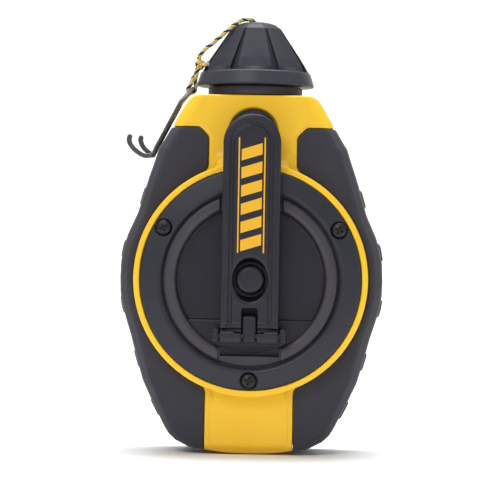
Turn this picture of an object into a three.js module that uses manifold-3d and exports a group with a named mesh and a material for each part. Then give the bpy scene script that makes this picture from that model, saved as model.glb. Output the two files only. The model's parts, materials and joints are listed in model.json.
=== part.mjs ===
// Chalk line reel, in millimetres. +X right, +Y to the back, +Z up.
// The origin is in the middle of the base; the crank faces -Y and the line leaves at the top.
import * as THREE from 'three';
import { mergeVertices } from 'three/addons/utils/BufferGeometryUtils.js';
import Module from 'manifold-3d';

const wasm = await Module();
wasm.setup();

// ---------------------------------------------------------------- driving dimensions
const GAP = 0.3;                 // clearance between neighbouring pieces

const FRONT_Y = -14.5;           // face of the front half
const REAR_Y = 28.5;             // face of the rear half
const SPLIT_Y = 7;               // where the halves meet; the nose stands over it
const EDGE = 3;                  // bevel round the faces of the case
const RUBBER = 2.5;              // thickness of the moulded grips
const WALL = 2.7;                // thickness of the case walls
const PAD_RISE = 0.7;            // how far the side pads stand out
const PAD_HALF = 3.6;            // half the height of a side pad
const PAD_HEIGHTS = [105.7, 83.9, 60.6, 38.4, 18.3];
const PANEL_HALF = 18;           // half the width of the bare panel between the grips
const GRIP_TOP = 134.3;
const TOP_Z = 147.5;

// Half width of the case at each height.
const SIDE = [
  [0, 17], [2.7, 24.5], [5.6, 30.4], [10.5, 34.2], [20, 39.5], [30, 44.1], [40, 47], [48, 49],
  [57.5, 52.3], [66, 53.7], [72, 54], [79, 53.7], [86, 52.6], [92, 50.3], [99, 47], [106, 45],
  [114, 42.6], [121, 40.2], [127, 38.3], [129, 36.2], [136, 32.3], [142.5, 28.6], [145.7, 26.6],
  [TOP_Z, 23.8],
];

const DRUM_Z = 72;               // height of the drum's axis

const SCOOP_Z = DRUM_Z + 59.6;   // middle of the scoop behind the tip of the arm
const SCOOP_R = 10.2;
const SCOOP_DEPTH = 3;
const SCOOP_DRAFT = 0.7;
const SCOOP_PAD = 1.1;           // thickness of the rubber pad in the scoop

const COLLAR_R = 47.6;
const COLLAR_Y = -20.5;
const COVER_R = 45.1;
const COVER_Y = -22;
const SEAT_Y = -16.7;            // ledge that the gear cover is screwed to
const CUP_R = 44.6;              // outside of the gear cup behind the cover
const CUP_BORE = 39;
const WEB_Y = -5.8;              // front of the web between the gears and the spool
const WEB_BACK_Y = -3.8;
const COVER_SCREW_R = 41.2;
const COVER_SCREW_ANGLES = [30, 150, 270];

const MODULE = 1.5;
const PRESSURE = THREE.MathUtils.degToRad(20);
const RING_TEETH = 36;
const SUN_TEETH = 12;
const BACKLASH = 0.3;
const GEAR_Y = [-13.7, -8.2];
const PLANET_ANGLES = [90, 210, 330];
const PLANET_ORBIT = MODULE * SUN_TEETH;

const AXLE_R = 2.5;
const SPOOL_R = 38;
const CORE_R = 13;
const WOUND_R = 32;

const HINGE_Z = -23;             // hinge of the arm, from the drum's axis
const HINGE_Y = -25.5;
const PIN_R = 1.5;
const ARM_HALF = 11.65;
const ARM_Y = [-28.5, -22.5];
const ARM_TIP = 67.4;            // above the drum's axis
const ARM_FOOT = -26.7;
const KNOB_Z = 56.5;
const KNOB_R = 7.5;
const BUTTON_R = 5.5;

const MOUTH_R = 14.2;            // filling mouth inside the neck
const NECK_R = 19.6;
const NECK_HOLE_R = 17.9;        // hole in the top of the case that the neck stands in
const CAP_R = 24.4;
const CAP_FOOT = 150.6;
const TIP_Z = 178.8;
const LINE_D = 1.8;
const LINE_BORE_R = 1.3;         // hole in the tip that the line runs through
const WIPER_R = 7.6;             // felt that wipes the line

const CASE_SCREWS = [[-27, 125], [27, 125], [-24, 17], [24, 17]];
const HEAD_R = 2.9;              // screw heads
const SHANK_R = 1.3;
const BOSS_R = 4.2;              // pillars that the case screws bite into
const PILOT_R = 1.7;             // holes round the shanks
const HUB_R = 7.6;               // hole in the web that the spool's hub turns in
const PLANET_PIN_R = 2;
const CHAMBER_Y = -9;            // front of the chalk chamber

// The free line from inside the tip of the nose to its knot, [x, y, z], with y from the nose's axis.
const LINE_ROUTE = [
  [0, 0, 174.9], [0, 0, 176], [0, 0, 177], [-0.45, -0.1, 178.8], [-1.75, -0.3, 180.1], [-3.5, -0.7, 180.6],
  [-5.1, -1.2, 180.25], [-8, -2.2, 179.1], [-10, -2.9, 177.9], [-11.7, -3.5, 176.2], [-13.2, -4, 174.2],
  [-14.6, -4.5, 172.6], [-16.2, -5, 171.1], [-17.8, -5.5, 169.9], [-19.4, -6, 168.6], [-20.8, -6.4, 167.2],
  [-21.9, -6.7, 165.6], [-22.5, -6.9, 163.8],
];
const KNOT = [-22.9, -7, 160.9];

// The hook, seen from the front: its strip and two prongs, [x, z].
const HOOK_STRIP = [[-26.0, 150.6], [-30.6, 145.1], [-40.2, 126.4], [-42.4, 123.4]];
const OUTER_PRONG = [
  [-42, 123.4], [-45.2, 123], [-48.3, 124.6], [-50.6, 127], [-51.5, 129.4], [-51.1, 130.9],
];
const INNER_PRONG = [[-42.0, 123.6], [-44.2, 124.8], [-46.2, 126.8], [-47.2, 129.2], [-47.1, 130.6]];
const STEEL = 1.5;

// Sides of round pieces.
const BIG = 40;
const MID = 24;
const SMALL = 12;

const YELLOW = { color: 0xf5c83f, roughness: 0.45 };
const RUBBER_BLACK = { color: 0x444349, roughness: 0.85 };
const BLACK = { color: 0x35333a, roughness: 0.55 };
const ACETAL = { color: 0xe8e6dc, roughness: 0.4 };
const BRIGHT = { color: 0xb9bcc2, roughness: 0.3, metalness: 1 };
const DARK_STEEL = { color: 0x2b2b2e, roughness: 0.4, metalness: 1 };
const FELT = { color: 0xb9b4a6, roughness: 1 };
const BRAID = { color: 0xa8a05a, roughness: 0.95 };

// ---------------------------------------------------------------- solids and shapes

/** A closed geometry as a solid, with its faces pointing out. */
function solid(geometry) {
  const bare = geometry.clone();
  bare.deleteAttribute('normal');
  bare.deleteAttribute('uv');
  const merged = mergeVertices(bare, 1e-4);
  const position = merged.attributes.position;
  const corners = [new THREE.Vector3(), new THREE.Vector3(), new THREE.Vector3()];
  const triangles = [];
  let volume = 0;
  for (let i = 0; i < merged.index.count; i += 3) {
    const ids = [0, 1, 2].map((k) => merged.index.getX(i + k));
    if (ids[0] === ids[1] || ids[1] === ids[2] || ids[2] === ids[0]) continue;
    ids.forEach((id, k) => corners[k].fromBufferAttribute(position, id));
    volume += corners[0].dot(corners[1].clone().cross(corners[2]));
    triangles.push(ids);
  }
  const facing = volume < 0 ? triangles.map(([a, b, c]) => [a, c, b]) : triangles;
  return new wasm.Manifold(new wasm.Mesh({
    numProp: 3,
    vertProperties: new Float32Array(position.array),
    triVerts: new Uint32Array(facing.flat()),
  }));
}

function join(...solids) {
  return solids.reduce((sum, next) => sum.add(next));
}

function cut(body, ...tools) {
  return tools.reduce((rest, tool) => rest.subtract(tool), body);
}

/** A box from one corner to the other. */
function box([x0, x1], [y0, y1], [z0, z1]) {
  const geometry = new THREE.BoxGeometry(x1 - x0, y1 - y0, z1 - z0);
  return solid(geometry.translate((x0 + x1) / 2, (y0 + y1) / 2, (z0 + z1) / 2));
}

/** A round bar along Y. */
function barY(radius, [y0, y1], x = 0, z = 0, sides = MID) {
  const geometry = new THREE.CylinderGeometry(radius, radius, y1 - y0, sides);
  return solid(geometry.translate(x, (y0 + y1) / 2, z));
}

/** A round bar along X. */
function barX(radius, [x0, x1], y = 0, z = 0, sides = SMALL) {
  const geometry = new THREE.CylinderGeometry(radius, radius, x1 - x0, sides);
  return solid(geometry.rotateZ(Math.PI / 2).translate((x0 + x1) / 2, y, z));
}

/** A round bar along Z. */
function barZ(radius, [z0, z1], x = 0, y = 0, sides = MID) {
  const geometry = new THREE.CylinderGeometry(radius, radius, z1 - z0, sides);
  return solid(geometry.rotateX(Math.PI / 2).translate(x, y, (z0 + z1) / 2));
}

/** A shape drawn in X and Z, carried from y0 to y1, with its edges bevelled by `bevel`. */
function prism(shape, [y0, y1], bevel = 0, curveSegments = 12) {
  const geometry = new THREE.ExtrudeGeometry(shape, {
    depth: y1 - y0 - 2 * bevel,
    curveSegments,
    bevelEnabled: bevel > 0,
    bevelSize: bevel,
    bevelThickness: bevel,
    bevelOffset: -bevel,
    bevelSegments: 2,
  });
  return solid(geometry.rotateX(Math.PI / 2).translate(0, y1 - bevel, 0));
}

function latheOf(profile, sides) {
  const [firstR, firstH] = profile[0];
  const [lastR, lastH] = profile.at(-1);
  const onAxis = firstR === 0 && lastR === 0;
  const same = firstR === lastR && firstH === lastH;
  const ring = onAxis || same ? profile : [...profile, profile[0]];
  return new THREE.LatheGeometry(ring.map(([r, h]) => new THREE.Vector2(r, h)), sides);
}

/** A profile of [radius, y] turned about Y. */
function turnY(profile, sides = MID) {
  return solid(latheOf(profile, sides));
}

/** A profile of [radius, z] turned about Z. */
function turnZ(profile, sides = MID) {
  return solid(latheOf(profile, sides).rotateX(Math.PI / 2));
}

function shapeOf(points) {
  return new THREE.Shape(points.map(([x, z]) => new THREE.Vector2(x, z)));
}

/** A band of even thickness along a run of points. */
function bandShape(points, thickness) {
  const curve = new THREE.SplineCurve(points.map(([x, z]) => new THREE.Vector2(x, z)));
  const steps = 3 * (points.length - 1);
  const sides = { left: [], right: [] };
  for (let i = 0; i <= steps; i += 1) {
    const at = curve.getPoint(i / steps);
    const along = curve.getTangent(i / steps);
    const across = new THREE.Vector2(-along.y, along.x).multiplyScalar(thickness / 2);
    sides.left.push(at.clone().add(across));
    sides.right.unshift(at.clone().sub(across));
  }
  return new THREE.Shape([...sides.left, ...sides.right]);
}

/** A tube of `sides` flat sides along a curve. */
function tube(curve, diameter, steps, sides = 8) {
  const section = new THREE.Shape();
  for (let i = 0; i < sides; i += 1) {
    const angle = (2 * Math.PI * i) / sides;
    const x = (diameter / 2) * Math.cos(angle);
    const y = (diameter / 2) * Math.sin(angle);
    if (i === 0) section.moveTo(x, y);
    else section.lineTo(x, y);
  }
  return solid(new THREE.ExtrudeGeometry(section, { steps, extrudePath: curve, bevelEnabled: false }));
}

function polar(radius, degrees) {
  const angle = THREE.MathUtils.degToRad(degrees);
  return [radius * Math.cos(angle), radius * Math.sin(angle)];
}

// ---------------------------------------------------------------- placing

const reel = new THREE.Group();
const drum = new THREE.Group();
drum.position.z = DRUM_Z;
const nose = new THREE.Group();
nose.position.y = SPLIT_Y;
reel.add(drum, nose);

function place(group, name, piece, finish, at = [0, 0, 0]) {
  const mesh = piece.getMesh();
  const geometry = new THREE.BufferGeometry();
  geometry.setAttribute('position', new THREE.BufferAttribute(mesh.vertProperties, 3));
  geometry.setIndex(new THREE.BufferAttribute(mesh.triVerts, 1));
  geometry.computeVertexNormals();
  const part = new THREE.Mesh(geometry, new THREE.MeshStandardMaterial(finish));
  part.name = name;
  part.position.set(...at);
  group.add(part);
}

// ---------------------------------------------------------------- case

function halfWidth(height) {
  const next = Math.max(1, SIDE.findIndex(([z]) => z >= height));
  const [z0, x0] = SIDE[next - 1];
  const [z1, x1] = SIDE[next];
  return THREE.MathUtils.mapLinear(height, z0, z1, x0, x1);
}

/** The outline of the case, drawn in by `inset`. */
function caseOutline(inset) {
  if (inset <= 0) {
    const right = SIDE.map(([z, x]) => [x - inset, z]);
    return shapeOf([...right, ...right.map(([x, z]) => [-x, z]).reverse()]);
  }
  const steps = 13;
  const right = [];
  for (let i = 0; i <= steps; i += 1) {
    const z = THREE.MathUtils.lerp(inset, TOP_Z - inset, i / steps);
    const slope = (halfWidth(z + 1) - halfWidth(z - 1)) / 2;
    right.push([halfWidth(z) - inset * Math.hypot(1, slope), z]);
  }
  return shapeOf([...right, ...right.map(([x, z]) => [-x, z]).reverse()]);
}

/** The whole case as one block, with the pads on its sides. */
function caseBlock() {
  const pads = prism(caseOutline(-PAD_RISE), [-4, 18]);
  const bands = PAD_HEIGHTS.map((z) => box([-60, 60], [-6, 20], [z - PAD_HALF, z + PAD_HALF]));
  return join(prism(caseOutline(0), [FRONT_Y, REAR_Y], EDGE), pads.intersect(join(...bands)));
}

/** The region of the left (-1) or right (1) grip, seen from the front. */
function gripRegion(side, clearance) {
  const inner = PANEL_HALF + clearance;
  const top = GRIP_TOP - clearance;
  const outline = [[inner, -10], [70, -10], [70, top], [inner + 4, top], [inner, top - 4]];
  return prism(shapeOf(outline.map(([x, z]) => [side * x, z])), [-40, 40]);
}

const block = caseBlock();
const core = prism(caseOutline(RUBBER + GAP), [FRONT_Y + RUBBER + GAP, REAR_Y - RUBBER - GAP], 1);
const coreRoom = prism(caseOutline(RUBBER), [FRONT_Y + RUBBER, REAR_Y - RUBBER], 1);
const chamber = prism(caseOutline(RUBBER + GAP + WALL), [CHAMBER_Y, REAR_Y - WALL - GAP]);
const frontSide = box([-80, 80], [-60, SPLIT_Y - GAP / 2], [-20, 200]);
const rearSide = box([-80, 80], [SPLIT_Y + GAP / 2, 60], [-20, 200]);
const neckHole = barZ(NECK_HOLE_R, [140, 160], 0, SPLIT_Y);
const flangeRoom = barZ(NECK_HOLE_R + 0.9, [142.3, 145.2], 0, SPLIT_Y);

function shellOf(side) {
  const bare = cut(block, gripRegion(-1, 0), gripRegion(1, 0));
  const ring = barY(COLLAR_R, [FRONT_Y, REAR_Y], 0, DRUM_Z, BIG).intersect(block);
  const hollow = cut(join(bare, core, ring), chamber, neckHole, flangeRoom);
  return hollow.intersect(side);
}

function gripOf(side, half) {
  const ring = barY(COLLAR_R + GAP, [-40, 40], 0, DRUM_Z, BIG);
  const grip = cut(block.intersect(gripRegion(side, GAP)), coreRoom, ring);
  const screwHoles = CASE_SCREWS.map(([x, z]) => barY(4, [20, 40], x, z, SMALL));
  return cut(grip, ...screwHoles).intersect(half);
}

/** The round scoop behind the knob. */
function fingerScoop() {
  const floor = FRONT_Y + SCOOP_DEPTH;
  return turnY([
    [0, floor], [SCOOP_R - SCOOP_DRAFT, floor], [SCOOP_R, FRONT_Y], [SCOOP_R, FRONT_Y - 1], [0, FRONT_Y - 1],
  ]).translate(0, 0, SCOOP_Z);
}

/** The pad at the bottom of the scoop. */
function scoopPad() {
  const back = FRONT_Y + SCOOP_DEPTH - GAP;
  return barY(SCOOP_R - SCOOP_DRAFT - GAP, [back - SCOOP_PAD, back]);
}

function frontHousing() {
  const bosses = CASE_SCREWS.map(([x, z]) => barY(BOSS_R, [CHAMBER_Y - 1, SPLIT_Y - GAP / 2], x, z, SMALL));
  const bores = CASE_SCREWS.map(([x, z]) => barY(PILOT_R, [-5, SPLIT_Y + 1], x, z, SMALL));
  const collar = barY(COLLAR_R, [COLLAR_Y, CHAMBER_Y], 0, DRUM_Z, BIG);
  const cup = barY(CUP_R, [-16, WEB_BACK_Y], 0, DRUM_Z, BIG);
  const coverBores = COVER_SCREW_ANGLES.map((angle) => {
    const [x, z] = polar(COVER_SCREW_R, angle);
    return barY(1.6, [-26, -9.5], x, DRUM_Z + z, SMALL);
  });
  return cut(
    join(shellOf(frontSide), collar, cup, ...bosses),
    barY(COVER_R + GAP, [-30, SEAT_Y], 0, DRUM_Z, BIG),
    barY(CUP_BORE, [-30, WEB_Y], 0, DRUM_Z, BIG),
    barY(HUB_R, [-30, 0], 0, DRUM_Z),
    barY(11, [-4.9, 0], 0, DRUM_Z),
    fingerScoop(),
    ...bores,
    ...coverBores,
  );
}

function rearHousing() {
  const bosses = CASE_SCREWS.map(([x, z]) => barY(BOSS_R, [SPLIT_Y + GAP / 2, 25.6], x, z, SMALL));
  const bores = CASE_SCREWS.map(([x, z]) => barY(PILOT_R, [0, 30], x, z, SMALL));
  const wells = CASE_SCREWS.map(([x, z]) => barY(3.3, [24.3, 30], x, z, SMALL));
  const axleBoss = barY(6, [24, 26], 0, DRUM_Z, SMALL);
  return cut(
    join(shellOf(rearSide), axleBoss, ...bosses),
    barY(AXLE_R + GAP, [0, 27.3], 0, DRUM_Z, SMALL),
    ...bores,
    ...wells,
  );
}

function screw(headR, headY, headBack, shankR, shankEnd) {
  const head = turnY([
    [0, headY], [headR * 0.6, headY], [headR, headY + (headBack - headY) * 0.5], [headR, headBack],
    [shankR, headBack], [shankR, shankEnd], [0, shankEnd],
  ], SMALL);
  const slotY = [headY, THREE.MathUtils.lerp(headY, headBack, 0.6)].sort((a, b) => a - b);
  const cross = [box([-1.6, 1.6], slotY, [-0.4, 0.4]), box([-0.4, 0.4], slotY, [-1.6, 1.6])];
  return cut(head, ...cross);
}

function makeCase() {
  place(reel, 'front_housing', frontHousing(), YELLOW);
  place(reel, 'rear_housing', rearHousing(), YELLOW);
  place(reel, 'front_left_grip', gripOf(-1, frontSide), RUBBER_BLACK);
  place(reel, 'front_right_grip', gripOf(1, frontSide), RUBBER_BLACK);
  place(reel, 'rear_left_grip', gripOf(-1, rearSide), RUBBER_BLACK);
  place(reel, 'rear_right_grip', gripOf(1, rearSide), RUBBER_BLACK);
  place(reel, 'scoop_pad', scoopPad(), RUBBER_BLACK, [0, 0, SCOOP_Z]);
  const caseScrew = screw(HEAD_R, 26.4, 24.6, SHANK_R, -3);
  CASE_SCREWS.forEach(([x, z], i) => place(reel, `case_screw_${i + 1}`, caseScrew, DARK_STEEL, [x, 0, z]));
}

// ---------------------------------------------------------------- drum: cover and crank disc

function gearCover() {
  const ring = turnY([
    [COVER_R, -17], [COVER_R, COVER_Y + 0.8], [COVER_R - 0.8, COVER_Y], [36.7, COVER_Y],
    [35.6, COVER_Y + 1.1], [35.6, -19.2], [39.2, -19.2], [39.2, -17],
  ], BIG);
  const wells = COVER_SCREW_ANGLES.map((angle) => {
    const [x, z] = polar(COVER_SCREW_R, angle);
    return join(barY(3.5, [-24, -20.2], x, z, SMALL), barY(1.6, [-24, -15], x, z, SMALL));
  });
  return cut(ring, ...wells);
}

/** The disc that the arm is hinged to: a dished face, a raised lip and a flange under the cover. */
function crankDisc() {
  const disc = turnY([
    [0, -17.5], [27, -17.5], [30.1, -20.8], [30.6, -21.8], [34.5, -21.8], [35.1, -21.2], [35.1, -18.9],
    [38.6, -18.9], [38.6, -16.9], [36, -16.9], [36, -14.6], [8, -14.6], [8, -15.9], [0, -15.9],
  ], BIG);
  const shelf = cut(barY(29, [-19, -16], 0, 0, MID), box([-40, 40], [-30, 0], [-16.2, 40]));
  const guide = barY(BUTTON_R + 2, [-21.8, -17], 0, 0, MID);
  const lug = box([-2.25, 2.25], [-28.2, -17], [-25.5, -14.5]);
  const ears = [-1, 1].map((side) => {
    const span = side < 0 ? [-14.9, -12.3] : [12.3, 14.9];
    return box(span, [-28, -17], [-25.4, -19.8]);
  });
  return cut(
    join(disc, shelf, guide, lug, ...ears),
    barY(BUTTON_R + GAP, [-30, -17.5], 0, 0, MID),
    barY(2.3, [-30, 0], 0, 0, SMALL),
    box([-12, 12], [-40, -15], [-31.2, -27.2]),
    box([-12.8, 12.8], [-40, -19.5], [-38, -27.2]),
    box([-12.8, 12.8], [-40, -19.5], [27.5, 36]),
    barX(PIN_R + GAP, [-20, 20], HINGE_Y, HINGE_Z),
  );
}

function makeClutch() {
  place(drum, 'clutch_button', turnY([
    [0, -28.2], [4.4, -28.2], [BUTTON_R, -27.1], [BUTTON_R, -20], [4.6, -20], [4.6, -23.8], [1.9, -23.8],
    [1.9, -14.9], [0, -14.9],
  ], MID), BLACK);
  place(drum, 'button_clip', turnY([[2.2, -15.6], [3.4, -15.6], [3.4, -15], [2.2, -15]], SMALL), BRIGHT);
  const turns = 2.5;
  const coilR = 3.3;
  const [from, to] = [-18.2, -23.1];
  class Coil extends THREE.Curve {
    getPoint(t, target = new THREE.Vector3()) {
      const angle = 2 * Math.PI * turns * t;
      return target.set(coilR * Math.cos(angle), THREE.MathUtils.lerp(from, to, t), coilR * Math.sin(angle));
    }
  }
  place(drum, 'clutch_spring', tube(new Coil(), 0.7, 24, 6), BRIGHT);
}

function makeDrumFace() {
  place(drum, 'gear_cover', gearCover(), BLACK);
  const coverScrew = screw(HEAD_R, -22.1, -20.5, SHANK_R, -10);
  COVER_SCREW_ANGLES.forEach((angle, i) => {
    const [x, z] = polar(COVER_SCREW_R, angle);
    place(drum, `cover_screw_${i + 1}`, coverScrew, DARK_STEEL, [x, 0, z]);
  });
  place(drum, 'crank_disc', crankDisc(), BLACK);
  place(drum, 'hinge_pin', barX(PIN_R, [-14.8, 14.8], HINGE_Y, HINGE_Z), DARK_STEEL);
  makeClutch();
}

// ---------------------------------------------------------------- arm and knob

function crankArm() {
  const tip = ARM_TIP - ARM_HALF;
  const outline = new THREE.Shape();
  outline.moveTo(-ARM_HALF + 2, ARM_FOOT);
  outline.lineTo(ARM_HALF - 2, ARM_FOOT);
  outline.lineTo(ARM_HALF, ARM_FOOT + 2);
  outline.lineTo(ARM_HALF, tip);
  outline.absarc(0, tip, ARM_HALF, 0, Math.PI, false);
  outline.lineTo(-ARM_HALF, ARM_FOOT + 2);
  const panel = new THREE.Shape();
  panel.moveTo(-7.45, -9);
  panel.lineTo(7.45, -9);
  panel.lineTo(7.45, tip);
  panel.absarc(0, tip, 7.45, 0, Math.PI, false);
  const eye = new THREE.Shape().absellipse(0, 0, 7.15, 9, 0, 2 * Math.PI);
  return cut(
    prism(outline, ARM_Y, 0.9),
    prism(panel, [-30, ARM_Y[0] + 0.7]),
    prism(eye, [-40, 0], 0, 16),
    box([-3.25, 3.25], [-40, 0], [-40, -11.4]),
    barX(PIN_R + GAP, [-20, 20], HINGE_Y, HINGE_Z),
    barY(2.3, [-26.1, 0], 0, KNOB_Z, SMALL),
  );
}

function makeArm() {
  place(drum, 'crank_arm', crankArm(), BLACK);
  place(drum, 'handle_knob', turnY([
    [2.3, -22.2], [6.4, -22.2], [6.9, -21.4], [6.6, -19.8], [7.2, -18.2], [KNOB_R, -17.2], [KNOB_R, -16.2],
    [6.6, -15.4], [4, -15.4], [4, -17.2], [2.3, -17.2],
  ], MID), BLACK, [0, 0, KNOB_Z]);
  place(drum, 'knob_axle', turnY([
    [0, -25.8], [2, -25.8], [2, -16.9], [3.6, -16.9], [3.4, -15.8], [0, -15.8],
  ], SMALL), BRIGHT, [0, 0, KNOB_Z]);
}

// ---------------------------------------------------------------- gears

/** Outline of an involute gear; `wider` thickens each tooth at the pitch circle. */
function gearShape(teeth, rise, fall, wider) {
  const pitchR = (MODULE * teeth) / 2;
  const baseR = pitchR * Math.cos(PRESSURE);
  const rootR = pitchR - fall;
  const involute = (angle) => Math.tan(angle) - angle;
  const halfTooth = (radius) => {
    const rolled = radius > baseR ? involute(Math.acos(baseR / radius)) : 0;
    return Math.PI / (2 * teeth) + wider / (2 * pitchR) + involute(PRESSURE) - rolled;
  };
  const flank = [0, 0.5, 1].map((t) => THREE.MathUtils.lerp(rootR, pitchR + rise, t));
  const points = [];
  for (let tooth = 0; tooth < teeth; tooth += 1) {
    const middle = (2 * Math.PI * tooth) / teeth;
    flank.forEach((r) => points.push([r, middle - halfTooth(r)]));
    [...flank].reverse().forEach((r) => points.push([r, middle + halfTooth(r)]));
  }
  return shapeOf(points.map(([r, angle]) => [r * Math.cos(angle), r * Math.sin(angle)]));
}

function makeGears() {
  const rise = 0.8 * MODULE;
  const fall = 1.1 * MODULE;
  const cutter = prism(gearShape(RING_TEETH, fall, 0.8, BACKLASH / 2), [-20, 0]);
  const halfPitch = 180 / RING_TEETH;
  const rim = barY(31.6, [-14.3, -8.3], 0, 0, BIG);
  place(drum, 'ring_gear', cut(rim, cutter.rotate(0, halfPitch, 0)), ACETAL);

  const wheel = prism(gearShape(SUN_TEETH, rise, fall, -BACKLASH / 2), GEAR_Y);
  place(drum, 'sun_gear', cut(wheel, barY(4.85, [-20, 0], 0, 0, 6)), ACETAL);
  const planet = cut(wheel, barY(PLANET_PIN_R + GAP, [-20, 0], 0, 0, SMALL)).rotate(0, 180 / SUN_TEETH, 0);
  const pin = barY(PLANET_PIN_R, [-14.1, -6.1], 0, 0, SMALL);
  PLANET_ANGLES.forEach((angle, i) => {
    const [x, z] = polar(PLANET_ORBIT, angle);
    place(drum, `planet_gear_${i + 1}`, planet, ACETAL, [x, 0, z]);
    place(drum, `planet_pin_${i + 1}`, pin, BRIGHT, [x, 0, z]);
  });
  const pinHoles = PLANET_ANGLES.map((angle) => {
    const [x, z] = polar(PLANET_ORBIT, angle);
    return barY(PLANET_PIN_R + GAP, [-20, 0], x, z, SMALL);
  });
  const plate = cut(barY(30, [-7.6, -6.1], 0, 0, MID), barY(HUB_R, [-20, 0]), ...pinHoles);
  place(drum, 'gear_plate', plate, BRIGHT);
}

// ---------------------------------------------------------------- spool

function makeSpool() {
  const reelBody = turnY([
    [2.8, -7.9], [7.2, -7.9], [7.2, -3.3], [SPOOL_R, -3.3], [SPOOL_R, -1.5], [CORE_R, -1.5], [CORE_R, 20],
    [SPOOL_R, 20], [SPOOL_R, 21.8], [6, 21.8], [6, 22.6], [2.8, 22.6],
  ]);
  const drive = cut(barY(4.5, [-12.6, -7.5], 0, 0, 6), barY(AXLE_R + GAP, [-20, 0], 0, 0, SMALL));
  place(drum, 'spool', cut(join(reelBody, drive), barY(AXLE_R + GAP, [-20, 24], 0, 0, SMALL)), BLACK);
  place(drum, 'line_winding', turnY([
    [CORE_R + GAP, -1.2], [WOUND_R - 1, -1.2], [WOUND_R, 4], [WOUND_R + 0.5, 9.2], [WOUND_R, 14.5],
    [WOUND_R - 1, 19.7], [CORE_R + GAP, 19.7],
  ], 40), BRAID);
  place(drum, 'spool_axle', barY(AXLE_R, [-12.4, 27], 0, 0, SMALL), BRIGHT);
  place(drum, 'spool_washer', turnY([[2.8, 22.9], [5.5, 22.9], [5.5, 23.7], [2.8, 23.7]], SMALL), BRIGHT);
  place(drum, 'spool_seal', turnY([[7.6, -4.6], [10.7, -4.6], [10.7, -3.6], [7.6, -3.6]], MID), FELT);
}

// ---------------------------------------------------------------- nose, line and hook

function noseCap() {
  const cone = turnZ([
    [LINE_BORE_R, 174.5], [1.6, 176.2], [2.2, 177.6], [3.2, 178.6], [4, TIP_Z], [6, 178.6], [9, 177.6],
    [10.6, 176], [18.8, 163.2], [22.1, 157.4], [23.9, 156.7], [CAP_R, 155.5], [CAP_R, 152.2],
    [CAP_R - 1.2, CAP_FOOT],
    [17.4, CAP_FOOT], [17.4, 161.6], [WIPER_R + GAP, 164.2], [WIPER_R + GAP, 171.8], [LINE_BORE_R, 172.6],
  ]);
  const flutes = [];
  for (let i = 0; i < 8; i += 1) {
    const wedge = new THREE.BufferGeometry().setFromPoints([
      [0, -9.6, 178.2], [-3.2, -23, 157.4], [3.2, -23, 157.4], [0, -20.2, 157.4],
    ].map((corner) => new THREE.Vector3(...corner)));
    wedge.setIndex([0, 1, 2, 0, 3, 1, 0, 2, 3, 1, 3, 2]);
    flutes.push(solid(wedge).rotate(0, 0, 22.5 + 45 * i));
  }
  return cut(cone, ...flutes);
}

function neckCollar() {
  const under = NECK_HOLE_R + 0.6;
  const through = NECK_HOLE_R - GAP;
  return turnZ([
    [MOUTH_R, 142.6], [under, 142.6], [under, 144.9], [through, 144.9], [through, TOP_Z + GAP],
    [NECK_R, TOP_Z + GAP], [NECK_R, CAP_FOOT - GAP], [16.9, CAP_FOOT - GAP], [16.9, 155.2], [15.2, 155.2],
    [15.2, 157.2], [16.9, 157.2], [16.9, 160], [MOUTH_R, 160],
  ]);
}

function ringProfile(radius, height, thickness, points) {
  const profile = [];
  for (let i = 0; i < points; i += 1) {
    const angle = (2 * Math.PI * i) / points;
    profile.push([radius + thickness * Math.cos(angle), height + thickness * Math.sin(angle)]);
  }
  return profile;
}

function hookPiece() {
  const middle = KNOT[1];
  const strip = prism(bandShape(HOOK_STRIP, STEEL), [middle - 5, middle + 5]);
  const outer = prism(bandShape(OUTER_PRONG, STEEL), [middle - 5, middle - 1.2]);
  const inner = prism(bandShape(INNER_PRONG, STEEL), [middle + 1.2, middle + 5]);
  return join(strip, outer, inner);
}

/** The knot, and the loop that hangs from it round the end of the hook. */
function lineKnot() {
  const [x, y, z] = KNOT;
  const ball = solid(new THREE.SphereGeometry(2.5, 10, 6).translate(x, y, z));
  const strands = [-1, 1].map((side) => {
    const run = new THREE.CatmullRomCurve3([
      new THREE.Vector3(x + side * 0.6, y + side * 0.9, z),
      new THREE.Vector3(x - 2 + side * 0.5, y + side, z - 4),
      new THREE.Vector3(x - 3 + side * 0.2, y + side, 152.9),
    ]);
    return tube(run, LINE_D, 4);
  });
  return join(ball, ...strands);
}

function makeNose() {
  place(nose, 'neck_collar', neckCollar(), BLACK);
  place(nose, 'neck_seal', turnZ(ringProfile(16.3, 156.2, 0.75, 6)), BLACK);
  place(nose, 'nose_cap', noseCap(), BLACK);
  const wiper = turnZ([[1.2, 164.5], [WIPER_R, 164.5], [WIPER_R, 171.5], [1.2, 171.5]], MID);
  place(nose, 'felt_wiper', wiper, FELT);
  place(nose, 'line_inside', barZ(LINE_D / 2, [105, 174.6], 0, 0, 8), BRAID);
}

function makeLine() {
  const route = new THREE.CatmullRomCurve3(LINE_ROUTE.map((at) => new THREE.Vector3(...at)));
  place(nose, 'chalk_line', tube(route, LINE_D, 24), BRAID);
  place(nose, 'line_knot', lineKnot(), BRAID);
  place(nose, 'hook', hookPiece(), BRIGHT);
}

makeCase();
makeDrumFace();
makeArm();
makeGears();
makeSpool();
makeNose();
makeLine();

export default reel;
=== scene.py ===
# Chalk line reel: the visible surfaces of every piece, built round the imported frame.
import json
import math
import bpy
import numpy as np
from mathutils import Matrix, Vector


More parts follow.
